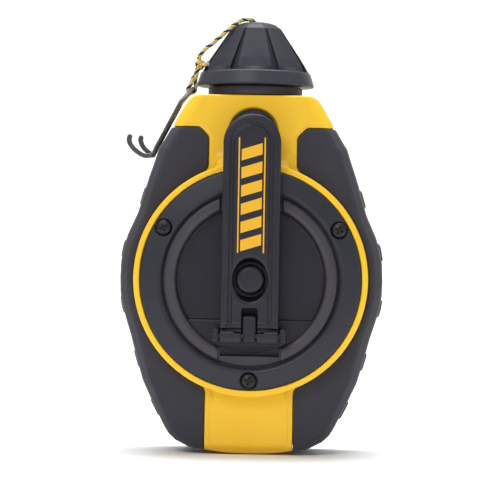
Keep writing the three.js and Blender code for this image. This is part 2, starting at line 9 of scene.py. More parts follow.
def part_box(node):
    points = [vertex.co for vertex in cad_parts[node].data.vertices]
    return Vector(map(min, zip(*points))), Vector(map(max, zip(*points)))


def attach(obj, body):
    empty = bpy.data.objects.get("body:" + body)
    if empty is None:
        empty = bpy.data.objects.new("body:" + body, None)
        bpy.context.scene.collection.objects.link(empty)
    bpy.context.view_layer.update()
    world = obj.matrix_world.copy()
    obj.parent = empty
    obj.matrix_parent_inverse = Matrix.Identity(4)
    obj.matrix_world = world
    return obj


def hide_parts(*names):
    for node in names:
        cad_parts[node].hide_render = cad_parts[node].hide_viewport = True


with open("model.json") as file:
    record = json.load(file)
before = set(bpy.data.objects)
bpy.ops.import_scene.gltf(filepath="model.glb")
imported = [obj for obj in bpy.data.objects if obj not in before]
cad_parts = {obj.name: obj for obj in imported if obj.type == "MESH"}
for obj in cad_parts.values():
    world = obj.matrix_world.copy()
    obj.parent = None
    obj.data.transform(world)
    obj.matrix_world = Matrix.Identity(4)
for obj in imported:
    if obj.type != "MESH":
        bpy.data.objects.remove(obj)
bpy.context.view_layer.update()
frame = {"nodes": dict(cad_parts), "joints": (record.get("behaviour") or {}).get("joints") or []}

MM = 0.001

# ---- places, in millimetres, from the frame
JOINTS = {joint["name"]: joint for joint in frame["joints"]}


def joint_at(name):
    return [1000 * value for value in JOINTS[name]["pos_m"]]


def span(node):
    low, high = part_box(node)
    return np.array(low) * 1000, np.array(high) * 1000


def screw_places(group, count):
    """The [x, z] of each of a group of screws."""
    boxes = [span(f"{group}_screw_{i + 1}") for i in range(count)]
    return [((low[0] + high[0]) / 2, (low[2] + high[2]) / 2) for low, high in boxes]


DRUM_Z = joint_at("crank_turn")[2]
HINGE_Y, HINGE_Z = joint_at("crank_fold")[1:]
KNOB_Z = joint_at("knob_spin")[2]
NOSE_Y = joint_at("cap_turn")[1]
TOP_Z = span("front_housing")[1][2]
FRONT_Y = span("front_left_grip")[0][1]
REAR_Y = span("rear_housing")[1][1]
SPLIT_Y = NOSE_Y
COLLAR_Y = span("front_housing")[0][1]
COVER_Y = span("gear_cover")[0][1]
COVER_R = span("gear_cover")[1][0]
ARM_FRONT, ARM_BACK = span("crank_arm")[0][1], span("crank_arm")[1][1]
ARM_HALF = span("crank_arm")[1][0]
ARM_TIP = span("crank_arm")[1][2] - 0.4
ARM_FOOT = span("crank_arm")[0][2]
COVER_SCREWS = screw_places("cover", 3)
CASE_SCREWS = screw_places("case", 4)
NECK_R = 19.6
COLLAR_R = 47.8
PANEL_HALF = 18.0
GRIP_TOP = 134.3

# Half width of the case at each height, as [height, half width].
SIDE = [
    [0, 17], [0.9, 20], [2.7, 24.8], [5.4, 30.2], [8, 33], [10.5, 34.6], [20, 39.5], [30, 44.1], [40, 47],
    [48, 49.1], [54, 51], [60, 52.8], [66, 53.8], [72, 54], [79, 53.7], [85, 52.6], [90, 51], [94, 49.2],
    [99, 47], [106, 45], [114, 42.6], [121, 40.2], [126, 38.6], [129, 36.6], [132, 34.9], [136, 32.5],
    [142.5, 28.8], [145.4, 26.9], [146.8, 25.4], [TOP_Z, 23.0],
]
PAD_HEIGHTS = [105.7, 83.9, 60.6, 38.4, 18.3]
PAD_HALF = 3.6
PAD_RISE = 0.8

# ---- camera, light and floor

def add_object(name, data):
    made = bpy.data.objects.new(name, data)
    bpy.context.scene.collection.objects.link(made)
    return made


def set_inputs(node, values):
    for name, value in values.items():
        node.inputs[name].default_value = value


CAMERA_LENS, SENSOR_WIDTH = 173.5, 36
CAMERA_AIM = Vector((-0.0004, -0.020, 0.0840))
CAMERA_DISTANCE = 0.98
CAMERA_TURN, CAMERA_LEAN = math.radians(1.5), math.radians(-1.0)
CLIP = (0.05, 20)


def make_camera():
    data = bpy.data.cameras.new("camera")
    data.sensor_width = SENSOR_WIDTH
    data.lens = CAMERA_LENS
    data.clip_start, data.clip_end = CLIP
    camera = add_object("camera", data)
    turn = Matrix.Rotation(CAMERA_TURN, 4, "Z")
    lean = Matrix.Rotation(CAMERA_LEAN, 4, "Y")
    back = Matrix.Translation((0, -CAMERA_DISTANCE, 0))
    level = Matrix.Rotation(math.pi / 2, 4, "X")
    camera.matrix_world = Matrix.Translation(CAMERA_AIM) @ turn @ lean @ back @ level
    bpy.context.scene.camera = camera


WORLD_STRENGTH = 0.32
MIDDLE = (0, 0, 0.08)
# Soft lights: name, place, aim, size and power.
LIGHTS = [
    ("key", (-0.35, -0.9, 0.75), MIDDLE, (0.7, 0.5), 5.4),
    ("fill", (0.8, -0.7, 0.25), MIDDLE, (0.5, 0.8), 1.25),
    ("top", (0.0, 0.12, 0.9), MIDDLE, (0.6, 0.4), 6.8),
    ("backdrop", (0.0, 0.35, 1.3), (0, 1.6, 0.3), (2.0, 0.6), 22),
]


def add_area(name, place, aim, size, power):
    data = bpy.data.lights.new(name, "AREA")
    data.shape = "RECTANGLE"
    data.size, data.size_y = size
    data.energy = power
    light = add_object(name, data)
    light.location = place
    light.rotation_euler = (Vector(aim) - Vector(place)).to_track_quat("-Z", "Y").to_euler()


def make_light():
    bpy.context.scene.view_settings.view_transform = "Standard"
    world = bpy.data.worlds.new("studio")
    world.use_nodes = True
    background = world.node_tree.nodes["Background"]
    set_inputs(background, {"Color": (1, 1, 1, 1), "Strength": WORLD_STRENGTH})
    bpy.context.scene.world = world
    for name, place, aim, size, power in LIGHTS:
        add_area(name, place, aim, size, power)


FLOOR_HALF, FLOOR_NEAR, WALL_AT, WALL_HEIGHT, FLOOR_BEND, BEND_PARTS = 3.0, -3.0, 1.6, 3.0, 0.8, 16
FLOOR_COLOUR, FLOOR_ROUGHNESS = (0.93, 0.93, 0.925), 0.9


def make_floor():
    """A pale floor that curves up into a wall behind the object."""
    run = [(FLOOR_NEAR, 0.0)]
    for i in range(BEND_PARTS + 1):
        angle = math.pi / 2 * i / BEND_PARTS
        y = WALL_AT - FLOOR_BEND + FLOOR_BEND * math.sin(angle)
        run.append((y, FLOOR_BEND - FLOOR_BEND * math.cos(angle)))
    run.append((WALL_AT, WALL_HEIGHT))
    vertices = [(x, y, z) for y, z in run for x in (-FLOOR_HALF, FLOOR_HALF)]
    faces = [(2 * i, 2 * i + 1, 2 * i + 3, 2 * i + 2) for i in range(len(run) - 1)]
    mesh = bpy.data.meshes.new("floor")
    mesh.from_pydata(vertices, [], faces)
    mesh.shade_smooth()
    floor = add_object("floor", mesh)
    material = bpy.data.materials.new("floor_paper")
    material.use_nodes = True
    shader = material.node_tree.nodes["Principled BSDF"]
    set_inputs(shader, {"Base Color": (*FLOOR_COLOUR, 1), "Roughness": FLOOR_ROUGHNESS})
    floor.data.materials.append(material)


make_camera()

# ---- materials

# Painted highlights: the lip of the crank disc is painted paler by its radius, and the rim of the cap by its
# height, in metres.
LIP_START = (0.0301, 0.0306)
LIP_FADE = (0.0325, 0.0354)
LIP_REST = 0.6
LIP_HIGHLIGHT = (0.054, 0.050, 0.060)
# The band and colour of the painted highlight on the cap's rim.
RIM_FOOT = (0.1519, 0.1525)
RIM_TOP = (0.1574, 0.1578)
RIM_HIGHLIGHT = (0.044, 0.045, 0.058)


class Finish:
    """A node material: one Principled shader, with grain, colour variation and uneven gloss."""

    def __init__(self, name, colour, roughness, metallic=0.0):
        self.material = bpy.data.materials.new(name)
        self.material.use_nodes = True
        self.tree = self.material.node_tree
        self.shader = self.tree.nodes["Principled BSDF"]
        self.set({"Base Color": (*colour, 1), "Roughness": roughness, "Metallic": metallic})
        self.coords = self.tree.nodes.new("ShaderNodeTexCoord").outputs["Object"]

    def set(self, values):
        set_inputs(self.shader, values)

    def node(self, kind, inputs=None, **settings):
        made = self.tree.nodes.new(kind)
        for key, value in settings.items():
            setattr(made, key, value)
        set_inputs(made, inputs or {})
        return made

    def link(self, source, target):
        self.tree.links.new(source, target)

    def noise(self, size_mm, detail=3.0, rough=0.55, stretch=(1, 1, 1)):
        """Noise with features about size_mm across."""
        mapping = self.node("ShaderNodeMapping", {"Scale": stretch})
        self.link(self.coords, mapping.inputs["Vector"])
        values = {"Scale": 1000.0 / size_mm, "Detail": detail, "Roughness": rough}
        noise = self.node("ShaderNodeTexNoise", values)
        self.link(mapping.outputs["Vector"], noise.inputs["Vector"])
        return noise.outputs["Fac"]

    def ranged(self, value, low, high, source=(0.3, 0.7)):
        values = {"From Min": source[0], "From Max": source[1], "To Min": low, "To Max": high}
        scale = self.node("ShaderNodeMapRange", values)
        self.link(value, scale.inputs["Value"])
        return scale.outputs["Result"]

    def vary_colour(self, fac, other):
        mix = self.node("ShaderNodeMix", data_type="RGBA")
        source = self.shader.inputs["Base Color"]
        if source.is_linked:
            self.link(source.links[0].from_socket, mix.inputs["A"])
        else:
            mix.inputs["A"].default_value = source.default_value
        mix.inputs["B"].default_value = (*other, 1)
        self.link(fac, mix.inputs["Factor"])
        self.link(mix.outputs["Result"], source)

    def vary_gloss(self, fac, low, high):
        self.link(self.ranged(fac, low, high), self.shader.inputs["Roughness"])

    def bump(self, height, depth_mm, strength=1.0):
        bump = self.node("ShaderNodeBump", {"Strength": strength, "Distance": depth_mm * MM})
        self.link(height, bump.inputs["Height"])
        previous = self.shader.inputs["Normal"]
        if previous.is_linked:
            self.link(previous.links[0].from_socket, bump.inputs["Normal"])
        self.link(bump.outputs["Normal"], previous)

    def colour_band(self, place, start, fade, rest, colour):
        """Another colour where `place` is past `start`, down to a share of `rest` past `fade`."""
        share = self.node("ShaderNodeMath", operation="MULTIPLY")
        self.link(self.ranged(place, 0.0, 1.0, start), share.inputs[0])
        self.link(self.ranged(place, 1.0, rest, fade), share.inputs[1])
        self.vary_colour(share.outputs[0], colour)

    def edges(self, low, high):
        """0 on flats to 1 on worn edges."""
        point = self.node("ShaderNodeNewGeometry").outputs["Pointiness"]
        return self.ranged(point, 0.0, 1.0, (low, high))


FLOW_MM, SMUDGE_MM, WAVE_MM = 14.0, 5.0, 22.0     # sizes of flow marks, of uneven gloss and of sink marks
WORN_EDGE = (0.53, 0.62)                          # pointiness at which an edge starts and ends paling


def moulded(name, colour, roughness, grain_mm, grain_depth, lighter, edge=0.4, sheen=0.35):
    """Moulded plastic or rubber with a fine grain, faint flow marks and paler edges."""
    finish = Finish(name, colour, roughness)
    finish.set({"Specular IOR Level": sheen})
    cloud = finish.noise(FLOW_MM, 4.0)
    finish.vary_colour(finish.ranged(cloud, 0.0, 0.5), lighter)
    worn = finish.node("ShaderNodeMath", operation="MULTIPLY")
    finish.link(finish.edges(*WORN_EDGE), worn.inputs[0])
    worn.inputs[1].default_value = edge
    finish.vary_colour(worn.outputs[0], tuple(min(1.0, 1.5 * c + 0.02) for c in lighter))
    finish.vary_gloss(finish.noise(SMUDGE_MM, 5.0), roughness - 0.06, roughness + 0.06)
    finish.bump(finish.noise(grain_mm, 2.0), grain_depth, 0.7)
    finish.bump(finish.noise(WAVE_MM, 1.0), 0.03, 0.4)
    return finish


def steel(name, colour, roughness, brush=(1, 1, 1)):
    """Steel with fine lines along the direction that `brush` stretches least, and darker clouds."""
    finish = Finish(name, colour, roughness, 1.0)
    finish.vary_colour(finish.ranged(finish.noise(3.0, 5.0), 0.0, 0.7), tuple(0.55 * c for c in colour))
    lines = finish.noise(0.5, 6.0, 0.7, brush)
    finish.vary_gloss(lines, roughness - 0.1, roughness + 0.15)
    finish.bump(lines, 0.015, 0.6)
    return finish


def paint_lip_highlight(finish):
    """A painted highlight: a paler colour on the raised lip of the crank disc."""
    place = finish.node("ShaderNodeSeparateXYZ")
    finish.link(finish.coords, place.inputs["Vector"])
    up = finish.node("ShaderNodeMath", operation="SUBTRACT")
    finish.link(place.outputs["Z"], up.inputs[0])
    up.inputs[1].default_value = DRUM_Z * MM
    flat = finish.node("ShaderNodeCombineXYZ")
    finish.link(place.outputs["X"], flat.inputs["X"])
    finish.link(up.outputs[0], flat.inputs["Y"])
    radius = finish.node("ShaderNodeVectorMath", operation="LENGTH")
    finish.link(flat.outputs["Vector"], radius.inputs[0])
    finish.colour_band(radius.outputs["Value"], LIP_START, LIP_FADE, LIP_REST, LIP_HIGHLIGHT)


def paint_rim_highlight(finish):
    """A painted highlight: a paler colour on the rim of the cap."""
    place = finish.node("ShaderNodeSeparateXYZ")
    finish.link(finish.coords, place.inputs["Vector"])
    finish.colour_band(place.outputs["Z"], RIM_FOOT, RIM_TOP, 0.0, RIM_HIGHLIGHT)


# Moulded parts: name, colour, roughness, grain in mm, its depth, paler colour, edge paling and sheen.
MOULDED = {
    "yellow": ("case_yellow", (0.89, 0.52, 0.022), 0.38, 0.5, 0.008, (0.92, 0.59, 0.038), 0.25),
    "rubber": ("grip_rubber", (0.033, 0.032, 0.042), 0.62, 0.35, 0.02, (0.041, 0.040, 0.052), 0.35, 0.2),
    "cover": ("cover_plastic", (0.024, 0.024, 0.034), 0.38, 0.45, 0.012, (0.031, 0.031, 0.042), 0.4, 0.3),
    "disc": ("disc_plastic", (0.017, 0.015, 0.023), 0.36, 0.6, 0.008, (0.022, 0.020, 0.029), 0.5, 0.32),
    "plate": ("plate_plastic", (0.017, 0.015, 0.023), 0.36, 0.6, 0.008, (0.022, 0.020, 0.029), 0.5, 0.32),
    "arm": ("arm_plastic", (0.020, 0.019, 0.027), 0.34, 0.5, 0.008, (0.026, 0.025, 0.034), 0.5, 0.32),
    "cap": ("cap_plastic", (0.021, 0.022, 0.032), 0.40, 0.45, 0.012, (0.027, 0.028, 0.040), 0.4, 0.2),
    "neck": ("neck_plastic", (0.056, 0.050, 0.062), 0.5, 0.5, 0.01, (0.062, 0.054, 0.066)),
    "print": ("print_yellow", (0.74, 0.36, 0.009), 0.55, 0.4, 0.01, (0.78, 0.41, 0.02), 0.2),
    "gear": ("gear_plastic", (0.74, 0.72, 0.64), 0.42, 0.5, 0.008, (0.80, 0.78, 0.72), 0.2),
}
# Steel parts: name, colour, roughness and the stretch of the brush marks.
STEELS = {
    "screw": ("black_steel", (0.055, 0.052, 0.055), 0.42),
    "hook": ("plated_steel", (0.15, 0.145, 0.145), 0.3, (1, 6, 1)),
    "bright": ("bright_steel", (0.62, 0.62, 0.63), 0.28, (6, 1, 1)),
}
STRANDS = {
    "line_gold": (0.80, 0.50, 0.02),
    "line_black": (0.012, 0.012, 0.013),
    "line_pale": (0.50, 0.55, 0.50),
}


SUBSURFACE = {
    "Subsurface Weight": 0.06, "Subsurface Radius": (0.004, 0.002, 0.001), "Subsurface Scale": 0.3,
}


def make_finishes():
    looks = {key: moulded(*values) for key, values in MOULDED.items()}
    looks.update({key: steel(*values) for key, values in STEELS.items()})
    looks.update({key: fibre(key, colour) for key, colour in STRANDS.items()})
    looks["felt"] = felt()
    looks["wound"] = wound_line()
    looks["yellow"].set(SUBSURFACE)
    looks["rubber"].set({"Sheen Weight": 0.15})
    # painted highlight on the lip of the crank disc
    paint_lip_highlight(looks["plate"])
    # painted highlight on the rim of the cap
    paint_rim_highlight(looks["cap"])
    return looks


def fibre(name, colour):
    """Spun fibre of the braided line, with a little chalk in it."""
    finish = Finish(name, colour, 0.85)
    dusty = tuple(0.45 * c + 0.02 for c in colour)
    finish.vary_colour(finish.ranged(finish.noise(0.5, 4.0), 0.0, 0.45), dusty)
    finish.vary_gloss(finish.noise(1.0), 0.75, 0.95)
    finish.bump(finish.noise(0.12, 3.0), 0.03, 0.9)
    finish.set({"Sheen Weight": 0.3})
    return finish


def felt():
    finish = Finish("felt", (0.42, 0.40, 0.34), 0.95)
    finish.vary_colour(finish.ranged(finish.noise(1.2, 5.0), 0.0, 0.6), (0.28, 0.26, 0.22))
    finish.vary_gloss(finish.noise(1.0), 0.85, 1.0)
    finish.bump(finish.noise(0.3, 5.0), 0.15, 1.0)
    finish.set({"Sheen Weight": 0.4})
    return finish


WOUND_SCALE, WOUND_WANDER = 90.0, 1.5


def wound_line():
    """Turns of line side by side on the spool."""
    finish = Finish("wound_line", (0.30, 0.26, 0.12), 0.9)
    values = {"Scale": WOUND_SCALE, "Distortion": WOUND_WANDER}
    wave = finish.node("ShaderNodeTexWave", values, bands_direction="Y")
    finish.link(finish.coords, wave.inputs["Vector"])
    finish.vary_colour(wave.outputs["Fac"], (0.06, 0.055, 0.04))
    finish.vary_gloss(finish.noise(1.0), 0.8, 0.95)
    finish.bump(wave.outputs["Fac"], 0.4, 1.0)
    return finish


LOOKS = make_finishes()


def wear(piece, look):
    piece.data.materials.clear()
    piece.data.materials.append(LOOKS[look].material)


# ---- distance fields


def both(a, b, r=0.5):
    """Inside a and b, with the edge between them rounded to radius r."""
    return np.minimum(np.maximum(a, b), -r) + np.hypot(np.maximum(a + r, 0), np.maximum(b + r, 0))


def either(a, b, r=0.5):
    """Inside a or b, with a fillet of radius r between them."""
    return -both(-a, -b, r)


def less(a, b, r=0.5):
    """Inside a but not b."""
    return both(a, -b, r)


def slab(value, low, high):
    return np.maximum(low - value, value - high)


def block(p, x, y, z, r=0.5):
    """A box with edges rounded to r; x, y and z are (low, high)."""
    middles = [(low + high) / 2 for low, high in (x, y, z)]
    halves = [(high - low) / 2 - r for low, high in (x, y, z)]
    q = [np.abs(p[i] - middles[i]) - halves[i] for i in range(3)]
    outside = np.sqrt(sum(np.maximum(v, 0) ** 2 for v in q))
    return outside + np.minimum(np.maximum(np.maximum(q[0], q[1]), q[2]), 0) - r


def polygon_distance(px, pz, points):
    """Signed distance from points to a closed outline."""
    nearest = np.full(px.shape, 1e9, np.float32)
    inside = np.zeros(px.shape, bool)
    for (ax, az), (bx, bz) in zip(points, np.roll(points, -1, axis=0)):
        ex, ez = bx - ax, bz - az
        wx, wz = px - ax, pz - az
        t = np.clip((wx * ex + wz * ez) / (ex * ex + ez * ez), 0, 1)
        nearest = np.minimum(nearest, (wx - ex * t) ** 2 + (wz - ez * t) ** 2)
        crosses = (az > pz) != (bz > pz)
        at = ax + (pz - az) * ex / (ez if abs(ez) > 1e-9 else 1e-9)
        inside ^= crosses & (px < at)
    return np.where(inside, -1, 1) * np.sqrt(nearest)


class Plan:
    """Signed distance to an outline in X and Z, read off a lattice."""

    def __init__(self, points, step=0.4, margin=14.0):
        points = np.array(points, np.float32)
        self.low = points.min(0) - margin
        self.step = step
        counts = np.ceil((points.max(0) + margin - self.low) / step).astype(int) + 1
        sides = [self.low[axis] + step * np.arange(counts[axis]) for axis in (0, 1)]
        gx, gz = (grid.astype(np.float32) for grid in np.meshgrid(*sides, indexing="ij"))
        self.grid = polygon_distance(gx, gz, points).astype(np.float32)

    def __call__(self, x, z):
        u = np.clip((x - self.low[0]) / self.step, 0, self.grid.shape[0] - 1.001)
        v = np.clip((z - self.low[1]) / self.step, 0, self.grid.shape[1] - 1.001)
        i, j = u.astype(int), v.astype(int)
        fu, fv = u - i, v - j
        g = self.grid
        near = g[i, j] * (1 - fv) + g[i, j + 1] * fv
        far = g[i + 1, j] * (1 - fv) + g[i + 1, j + 1] * fv
        return near * (1 - fu) + far * fu


def smooth_run(points, per_span=6):
    """A Catmull-Rom curve through the points."""
    points = np.array(points, float)
    padded = np.vstack([2 * points[0] - points[1], points, 2 * points[-1] - points[-2]])
    run = []
    for a, b, c, d in zip(padded, padded[1:], padded[2:], padded[3:]):
        for i in range(per_span):
            t = i / per_span
            square, cube = 2 * a - 5 * b + 4 * c - d, 3 * b - a - 3 * c + d
            run.append(0.5 * (2 * b + (c - a) * t + square * t**2 + cube * t**3))
    run.append(points[-1])
    return np.array(run)


# ---- fields to meshes


def lattice(low, high, step):
    counts = np.ceil((np.array(high) - np.array(low)) / step).astype(int) + 1
    return [low[axis] + step * np.arange(counts[axis]) for axis in range(3)]


COARSER = 4              # steps to a coarse one
NEAR_STEPS = 5.5         # how near the surface the field is worked out at every step


def sample(field, low, high, step):
    """Values of the field on a lattice, exact near the surface."""
    coarse_step = COARSER * step
    coarse = lattice(low, np.array(high) + coarse_step, coarse_step)
    cx, cy, cz = np.meshgrid(*coarse, indexing="ij")
    rough = field([cx.ravel(), cy.ravel(), cz.ravel()]).reshape(cx.shape).astype(np.float32)
    axes = lattice(low, high, step)
    nearest = [
        np.minimum((np.arange(len(a)) + COARSER // 2) // COARSER, len(c) - 1) for a, c in zip(axes, coarse)
    ]
    values = rough[np.ix_(*nearest)]
    near = np.nonzero(np.abs(values) < NEAR_STEPS * step)
    points = [axes[axis][near[axis]] for axis in range(3)]
    values[near] = field(points)
    return axes, values


CORNERS = [(i, j, k) for i in (0, 1) for j in (0, 1) for k in (0, 1)]
EDGES = [
    (a, b) for a in range(8) for b in range(a + 1, 8)
    if sum(abs(p - q) for p, q in zip(CORNERS[a], CORNERS[b])) == 1
]


def gradient(field, points, gap):
    slopes = []
    for axis in range(3):
        ahead = [c + gap if i == axis else c for i, c in enumerate(points)]
        behind = [c - gap if i == axis else c for i, c in enumerate(points)]
        slopes.append((field(ahead) - field(behind)) / (2 * gap))
    return np.array(slopes)


def net(field, low, high, step):
    """A quad mesh of the field's surface: vertices in mm, faces, normals."""
    axes, values = sample(field, low, high, step)
    inside = values < 0
    shape = np.array(values.shape) - 1
    parts = [inside[i:shape[0] + i, j:shape[1] + j, k:shape[2] + k] for i, j, k in CORNERS]
    total = sum(part.astype(np.int8) for part in parts)
    cells = np.array(np.nonzero((total > 0) & (total < 8)))
    number = np.full(shape, -1, np.int64)
    number[tuple(cells)] = np.arange(cells.shape[1])
    corner_values = np.array([values[cells[0] + i, cells[1] + j, cells[2] + k] for i, j, k in CORNERS])
    place = np.zeros((3, cells.shape[1]))
    hits = np.zeros(cells.shape[1])
    for a, b in EDGES:
        va, vb = corner_values[a], corner_values[b]
        crossing = (va < 0) != (vb < 0)
        t = np.where(crossing, va / np.where(crossing, va - vb, 1), 0)
        for axis in range(3):
            at = CORNERS[a][axis] + t * (CORNERS[b][axis] - CORNERS[a][axis])
            place[axis] += np.where(crossing, at, 0)
        hits += crossing
    place /= hits
    points = [axes[axis][0] + step * (cells[axis] + place[axis]) for axis in range(3)]
    for _ in range(2):
        slope = gradient(field, points, 0.3 * step)
        move = field(points) / np.maximum((slope**2).sum(0), 0.2)
        points = [p - np.clip(move * s, -0.5 * step, 0.5 * step) for p, s in zip(points, slope)]
    normals = gradient(field, points, 0.5 * step)
    normals /= np.maximum(np.sqrt((normals**2).sum(0)), 1e-9)
    faces = []
    for axis in range(3):
        u, v = (axis + 1) % 3, (axis + 2) % 3
        one = [slice(1, s) for s in shape]
        one[axis] = slice(0, shape[axis])
        ahead = list(one)
        ahead[axis] = slice(1, shape[axis] + 1)
        start, stop = inside[tuple(one)], inside[tuple(ahead)]
        crossing = np.array(np.nonzero(start != stop))
        leaving = start[tuple(crossing)]
        base = crossing.copy()
        base[u] += 1
        base[v] += 1
        ring = []
        for du, dv in ((-1, -1), (0, -1), (0, 0), (-1, 0)):
            cell = base.copy()
            cell[u] += du
            cell[v] += dv
            ring.append(number[tuple(cell)])
        quads = np.stack(ring, 1)
        quads[~leaving] = quads[~leaving][:, ::-1]
        faces.append(quads)
    return np.stack(points, 1), np.vstack(faces), normals.T


def mesh_object(name, vertices, faces, normals):
    """An object from vertices in mm and faces of one size."""
    mesh = bpy.data.meshes.new(name)
    size = faces.shape[1]
    mesh.vertices.add(len(vertices))
    mesh.vertices.foreach_set("co", (np.asarray(vertices) * MM).astype(np.float32).ravel())
    mesh.loops.add(faces.size)
    mesh.loops.foreach_set("vertex_index", faces.astype(np.int32).ravel())
    mesh.polygons.add(len(faces))
    mesh.polygons.foreach_set("loop_start", np.arange(0, faces.size, size, dtype=np.int32))
    mesh.update(calc_edges=True)
    mesh.validate()
    mesh.shade_smooth()
    mesh.normals_split_custom_set_from_vertices(np.asarray(normals, np.float32))
    return add_object(name, mesh)


def carve(name, field, low, high, step, look, body, nodes):
    """A piece from a distance field, riding on a body and standing for CAD nodes."""
    step = step * 1.0
    vertices, faces, normals = net(field, np.array(low) - 2 * step, np.array(high) + 2 * step, step)
    piece = mesh_object(name, vertices, faces, normals)
    wear(piece, look)
    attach(piece, body)
    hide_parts(*nodes)
    return piece


def carve_node(name, field, node, step, look, body):
    """A piece that keeps to the box of the one CAD node that it stands for."""
    low, high = span(node)
    return carve(name, field, low, high, step, look, body, [node])


# ---- the free line, its knot and the hook

# The line's route from inside the tip of the nose to its knot, in millimetres; y is from the nose's axis.
LINE_ROUTE = [
    [0, 0, 174.9], [0, 0, 176], [0, 0, 177.4], [-0.6, -0.4, 178.9], [-2.2, -1.3, 179.9], [-4.4, -2.6, 180.0],
    [-6.8, -4.0, 179.2], [-9.0, -5.2, 177.6], [-11.3, -6.2, 175.5], [-13.7, -6.8, 173.3], [-16.0, -7, 171.2],
    [-18.3, -7, 169.2], [-20.5, -7, 167.5], [-22.3, -7, 165.6], [-23.5, -7, 163.5],
]
LINE_D = 1.8
STRAND_R = 0.57
STRAND_ORBIT = LINE_D / 2 - STRAND_R
TWIST_PITCH = 4.7


def resample(points, gap):
    """Even points along a run."""
    points = np.array(points, float)
    lengths = np.concatenate([[0], np.cumsum(np.linalg.norm(np.diff(points, axis=0), axis=1))])
    count = max(2, int(round(lengths[-1] / gap)) + 1)
    at = np.linspace(0, lengths[-1], count)
    return np.stack([np.interp(at, lengths, points[:, axis]) for axis in range(3)], 1)


def frames_along(points):
    """Two directions across a run at each point, carried along it without spinning."""
    along = np.gradient(points, axis=0)
    along /= np.linalg.norm(along, axis=1)[:, None]
    across = np.cross(along[0], [0.31, 0.87, 0.39])
    firsts = []
    for direction in along:
        across = across - direction * across.dot(direction)
        across /= np.linalg.norm(across)
        firsts.append(across)
    firsts = np.array(firsts)
    return firsts, np.cross(along, firsts)


STRAND_COUNT = len(STRANDS)
STRAND_SIDES = 10
RING_GAP = 0.16
END_SHRINK = 0.6


def twisted_line(name, runs, thickness):
    """Three strands laid up into a line along each run, as one mesh; each strand has its own colour."""
    sides = STRAND_COUNT * STRAND_SIDES
    sector = 2 * math.pi / STRAND_COUNT
    scale = thickness / LINE_D
    vertices, faces, colours = [], [], []
    for run in runs:
        points = resample(smooth_run(run, 10), RING_GAP)
        first, second = frames_along(points)
        start = len(vertices)
        travelled = np.concatenate([[0], np.cumsum(np.linalg.norm(np.diff(points, axis=0), axis=1))])
        for i, point in enumerate(points):
            turn = 2 * math.pi * travelled[i] / (TWIST_PITCH * scale)
            for k in range(sides):
                local = 2 * math.pi * k / sides
                off_strand = (local + sector / 2) % sector - sector / 2
                radius = STRAND_ORBIT * math.cos(off_strand)
                radius += math.sqrt(STRAND_R**2 - (STRAND_ORBIT * math.sin(off_strand)) ** 2)
                if i in (0, len(points) - 1):
                    radius *= END_SHRINK
                way = math.cos(local + turn) * first[i] + math.sin(local + turn) * second[i]
                vertices.append(point + way * radius * scale)
        for i in range(len(points) - 1):
            for k in range(sides):
                a, b = start + i * sides + k, start + i * sides + (k + 1) % sides
                faces.append([a, b, b + sides, a + sides])
                colours.append(((k + STRAND_SIDES // 2) // STRAND_SIDES) % STRAND_COUNT)
        for ring, order in ((start, -1), (start + (len(points) - 1) * sides, 1)):
            centre = len(vertices)
            vertices.append(points[0] if order < 0 else points[-1])
            for k in range(sides):
                pair = [ring + k, ring + (k + 1) % sides][::order]
                faces.append([centre, *pair, pair[1]])
                colours.append(1)
    mesh = bpy.data.meshes.new(name)
    clean = [face[:3] if face[2] == face[3] else face for face in faces]
    mesh.from_pydata([tuple(v * MM) for v in vertices], [], clean)
    for look in STRANDS:
        mesh.materials.append(LOOKS[look].material)
    mesh.polygons.foreach_set("material_index", np.array(colours, np.int32))
    mesh.shade_smooth()
    mesh.update()
    return add_object(name, mesh)


def in_world(points):
    """The same points, with y from the world's origin."""
    return [(x, y + NOSE_Y, z) for x, y, z in points]


def lay_line(name, runs, node, thickness=LINE_D):
    piece = twisted_line(name, runs, thickness)
    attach(piece, "line_end")
    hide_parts(node)
    return piece


HOOK_Y = NOSE_Y - 7.0
KNOT_AT = np.array([-23.0, HOOK_Y, 160.6])
EYE_AT = np.array([-26.7, HOOK_Y, 149.2])     # hole in the hook that the loop goes through
KNOT_SIZE, KNOT_TURNED, KNOT_PARTS = 0.54, 0.35, 32
KNOT_LINE_D = 1.85


def make_knot():
    """An overhand knot with a short tail, and a loop below it through the eye of the hook."""
    knot = []
    for i in range(KNOT_PARTS + 1):
        t = KNOT_TURNED + 2 * math.pi * i / KNOT_PARTS
        bend = np.array([
            math.sin(t) + 2 * math.sin(2 * t), -0.9 * math.sin(3 * t), math.cos(t) - 2 * math.cos(2 * t),
        ])
        knot.append(KNOT_AT + KNOT_SIZE * bend)
    tail = [KNOT_AT + d for d in ([0.8, -1.2, -0.6], [2.2, -1.6, -0.1], [3.4, -1.7, 0.5], [4.4, -1.5, -0.2])]
    head = [KNOT_AT + d for d in ([-0.4, 0.0, 3.2], [-0.4, 0.1, 2.0], [-0.5, 0.3, 0.8])]
    x, y, z = KNOT_AT
    ex, ey, ez = EYE_AT
    loop = [
        [x - 0.9, y + 0.6, z - 1.2], [x - 1.9, y + 0.8, z - 3.8], [x - 3.0, y - 0.5, z - 6.4],
        [x - 3.9, y - 0.8, z - 8.6], [ex - 1.0, ey - 0.3, ez + 1.4], [ex - 0.9, ey, ez + 0.1],
        [ex + 0.3, ey, ez - 0.3], [ex + 1.6, ey + 0.2, ez + 0.4], [x - 1.7, y + 0.9, z - 9.0],
        [x - 1.9, y + 0.5, z - 6.6], [x - 1.4, y - 0.9, z - 4.0], [x - 0.5, y - 0.9, z - 1.4],
    ]
    return lay_line("line_knot_and_loop", [knot, head, tail, loop], "line_knot", KNOT_LINE_D)


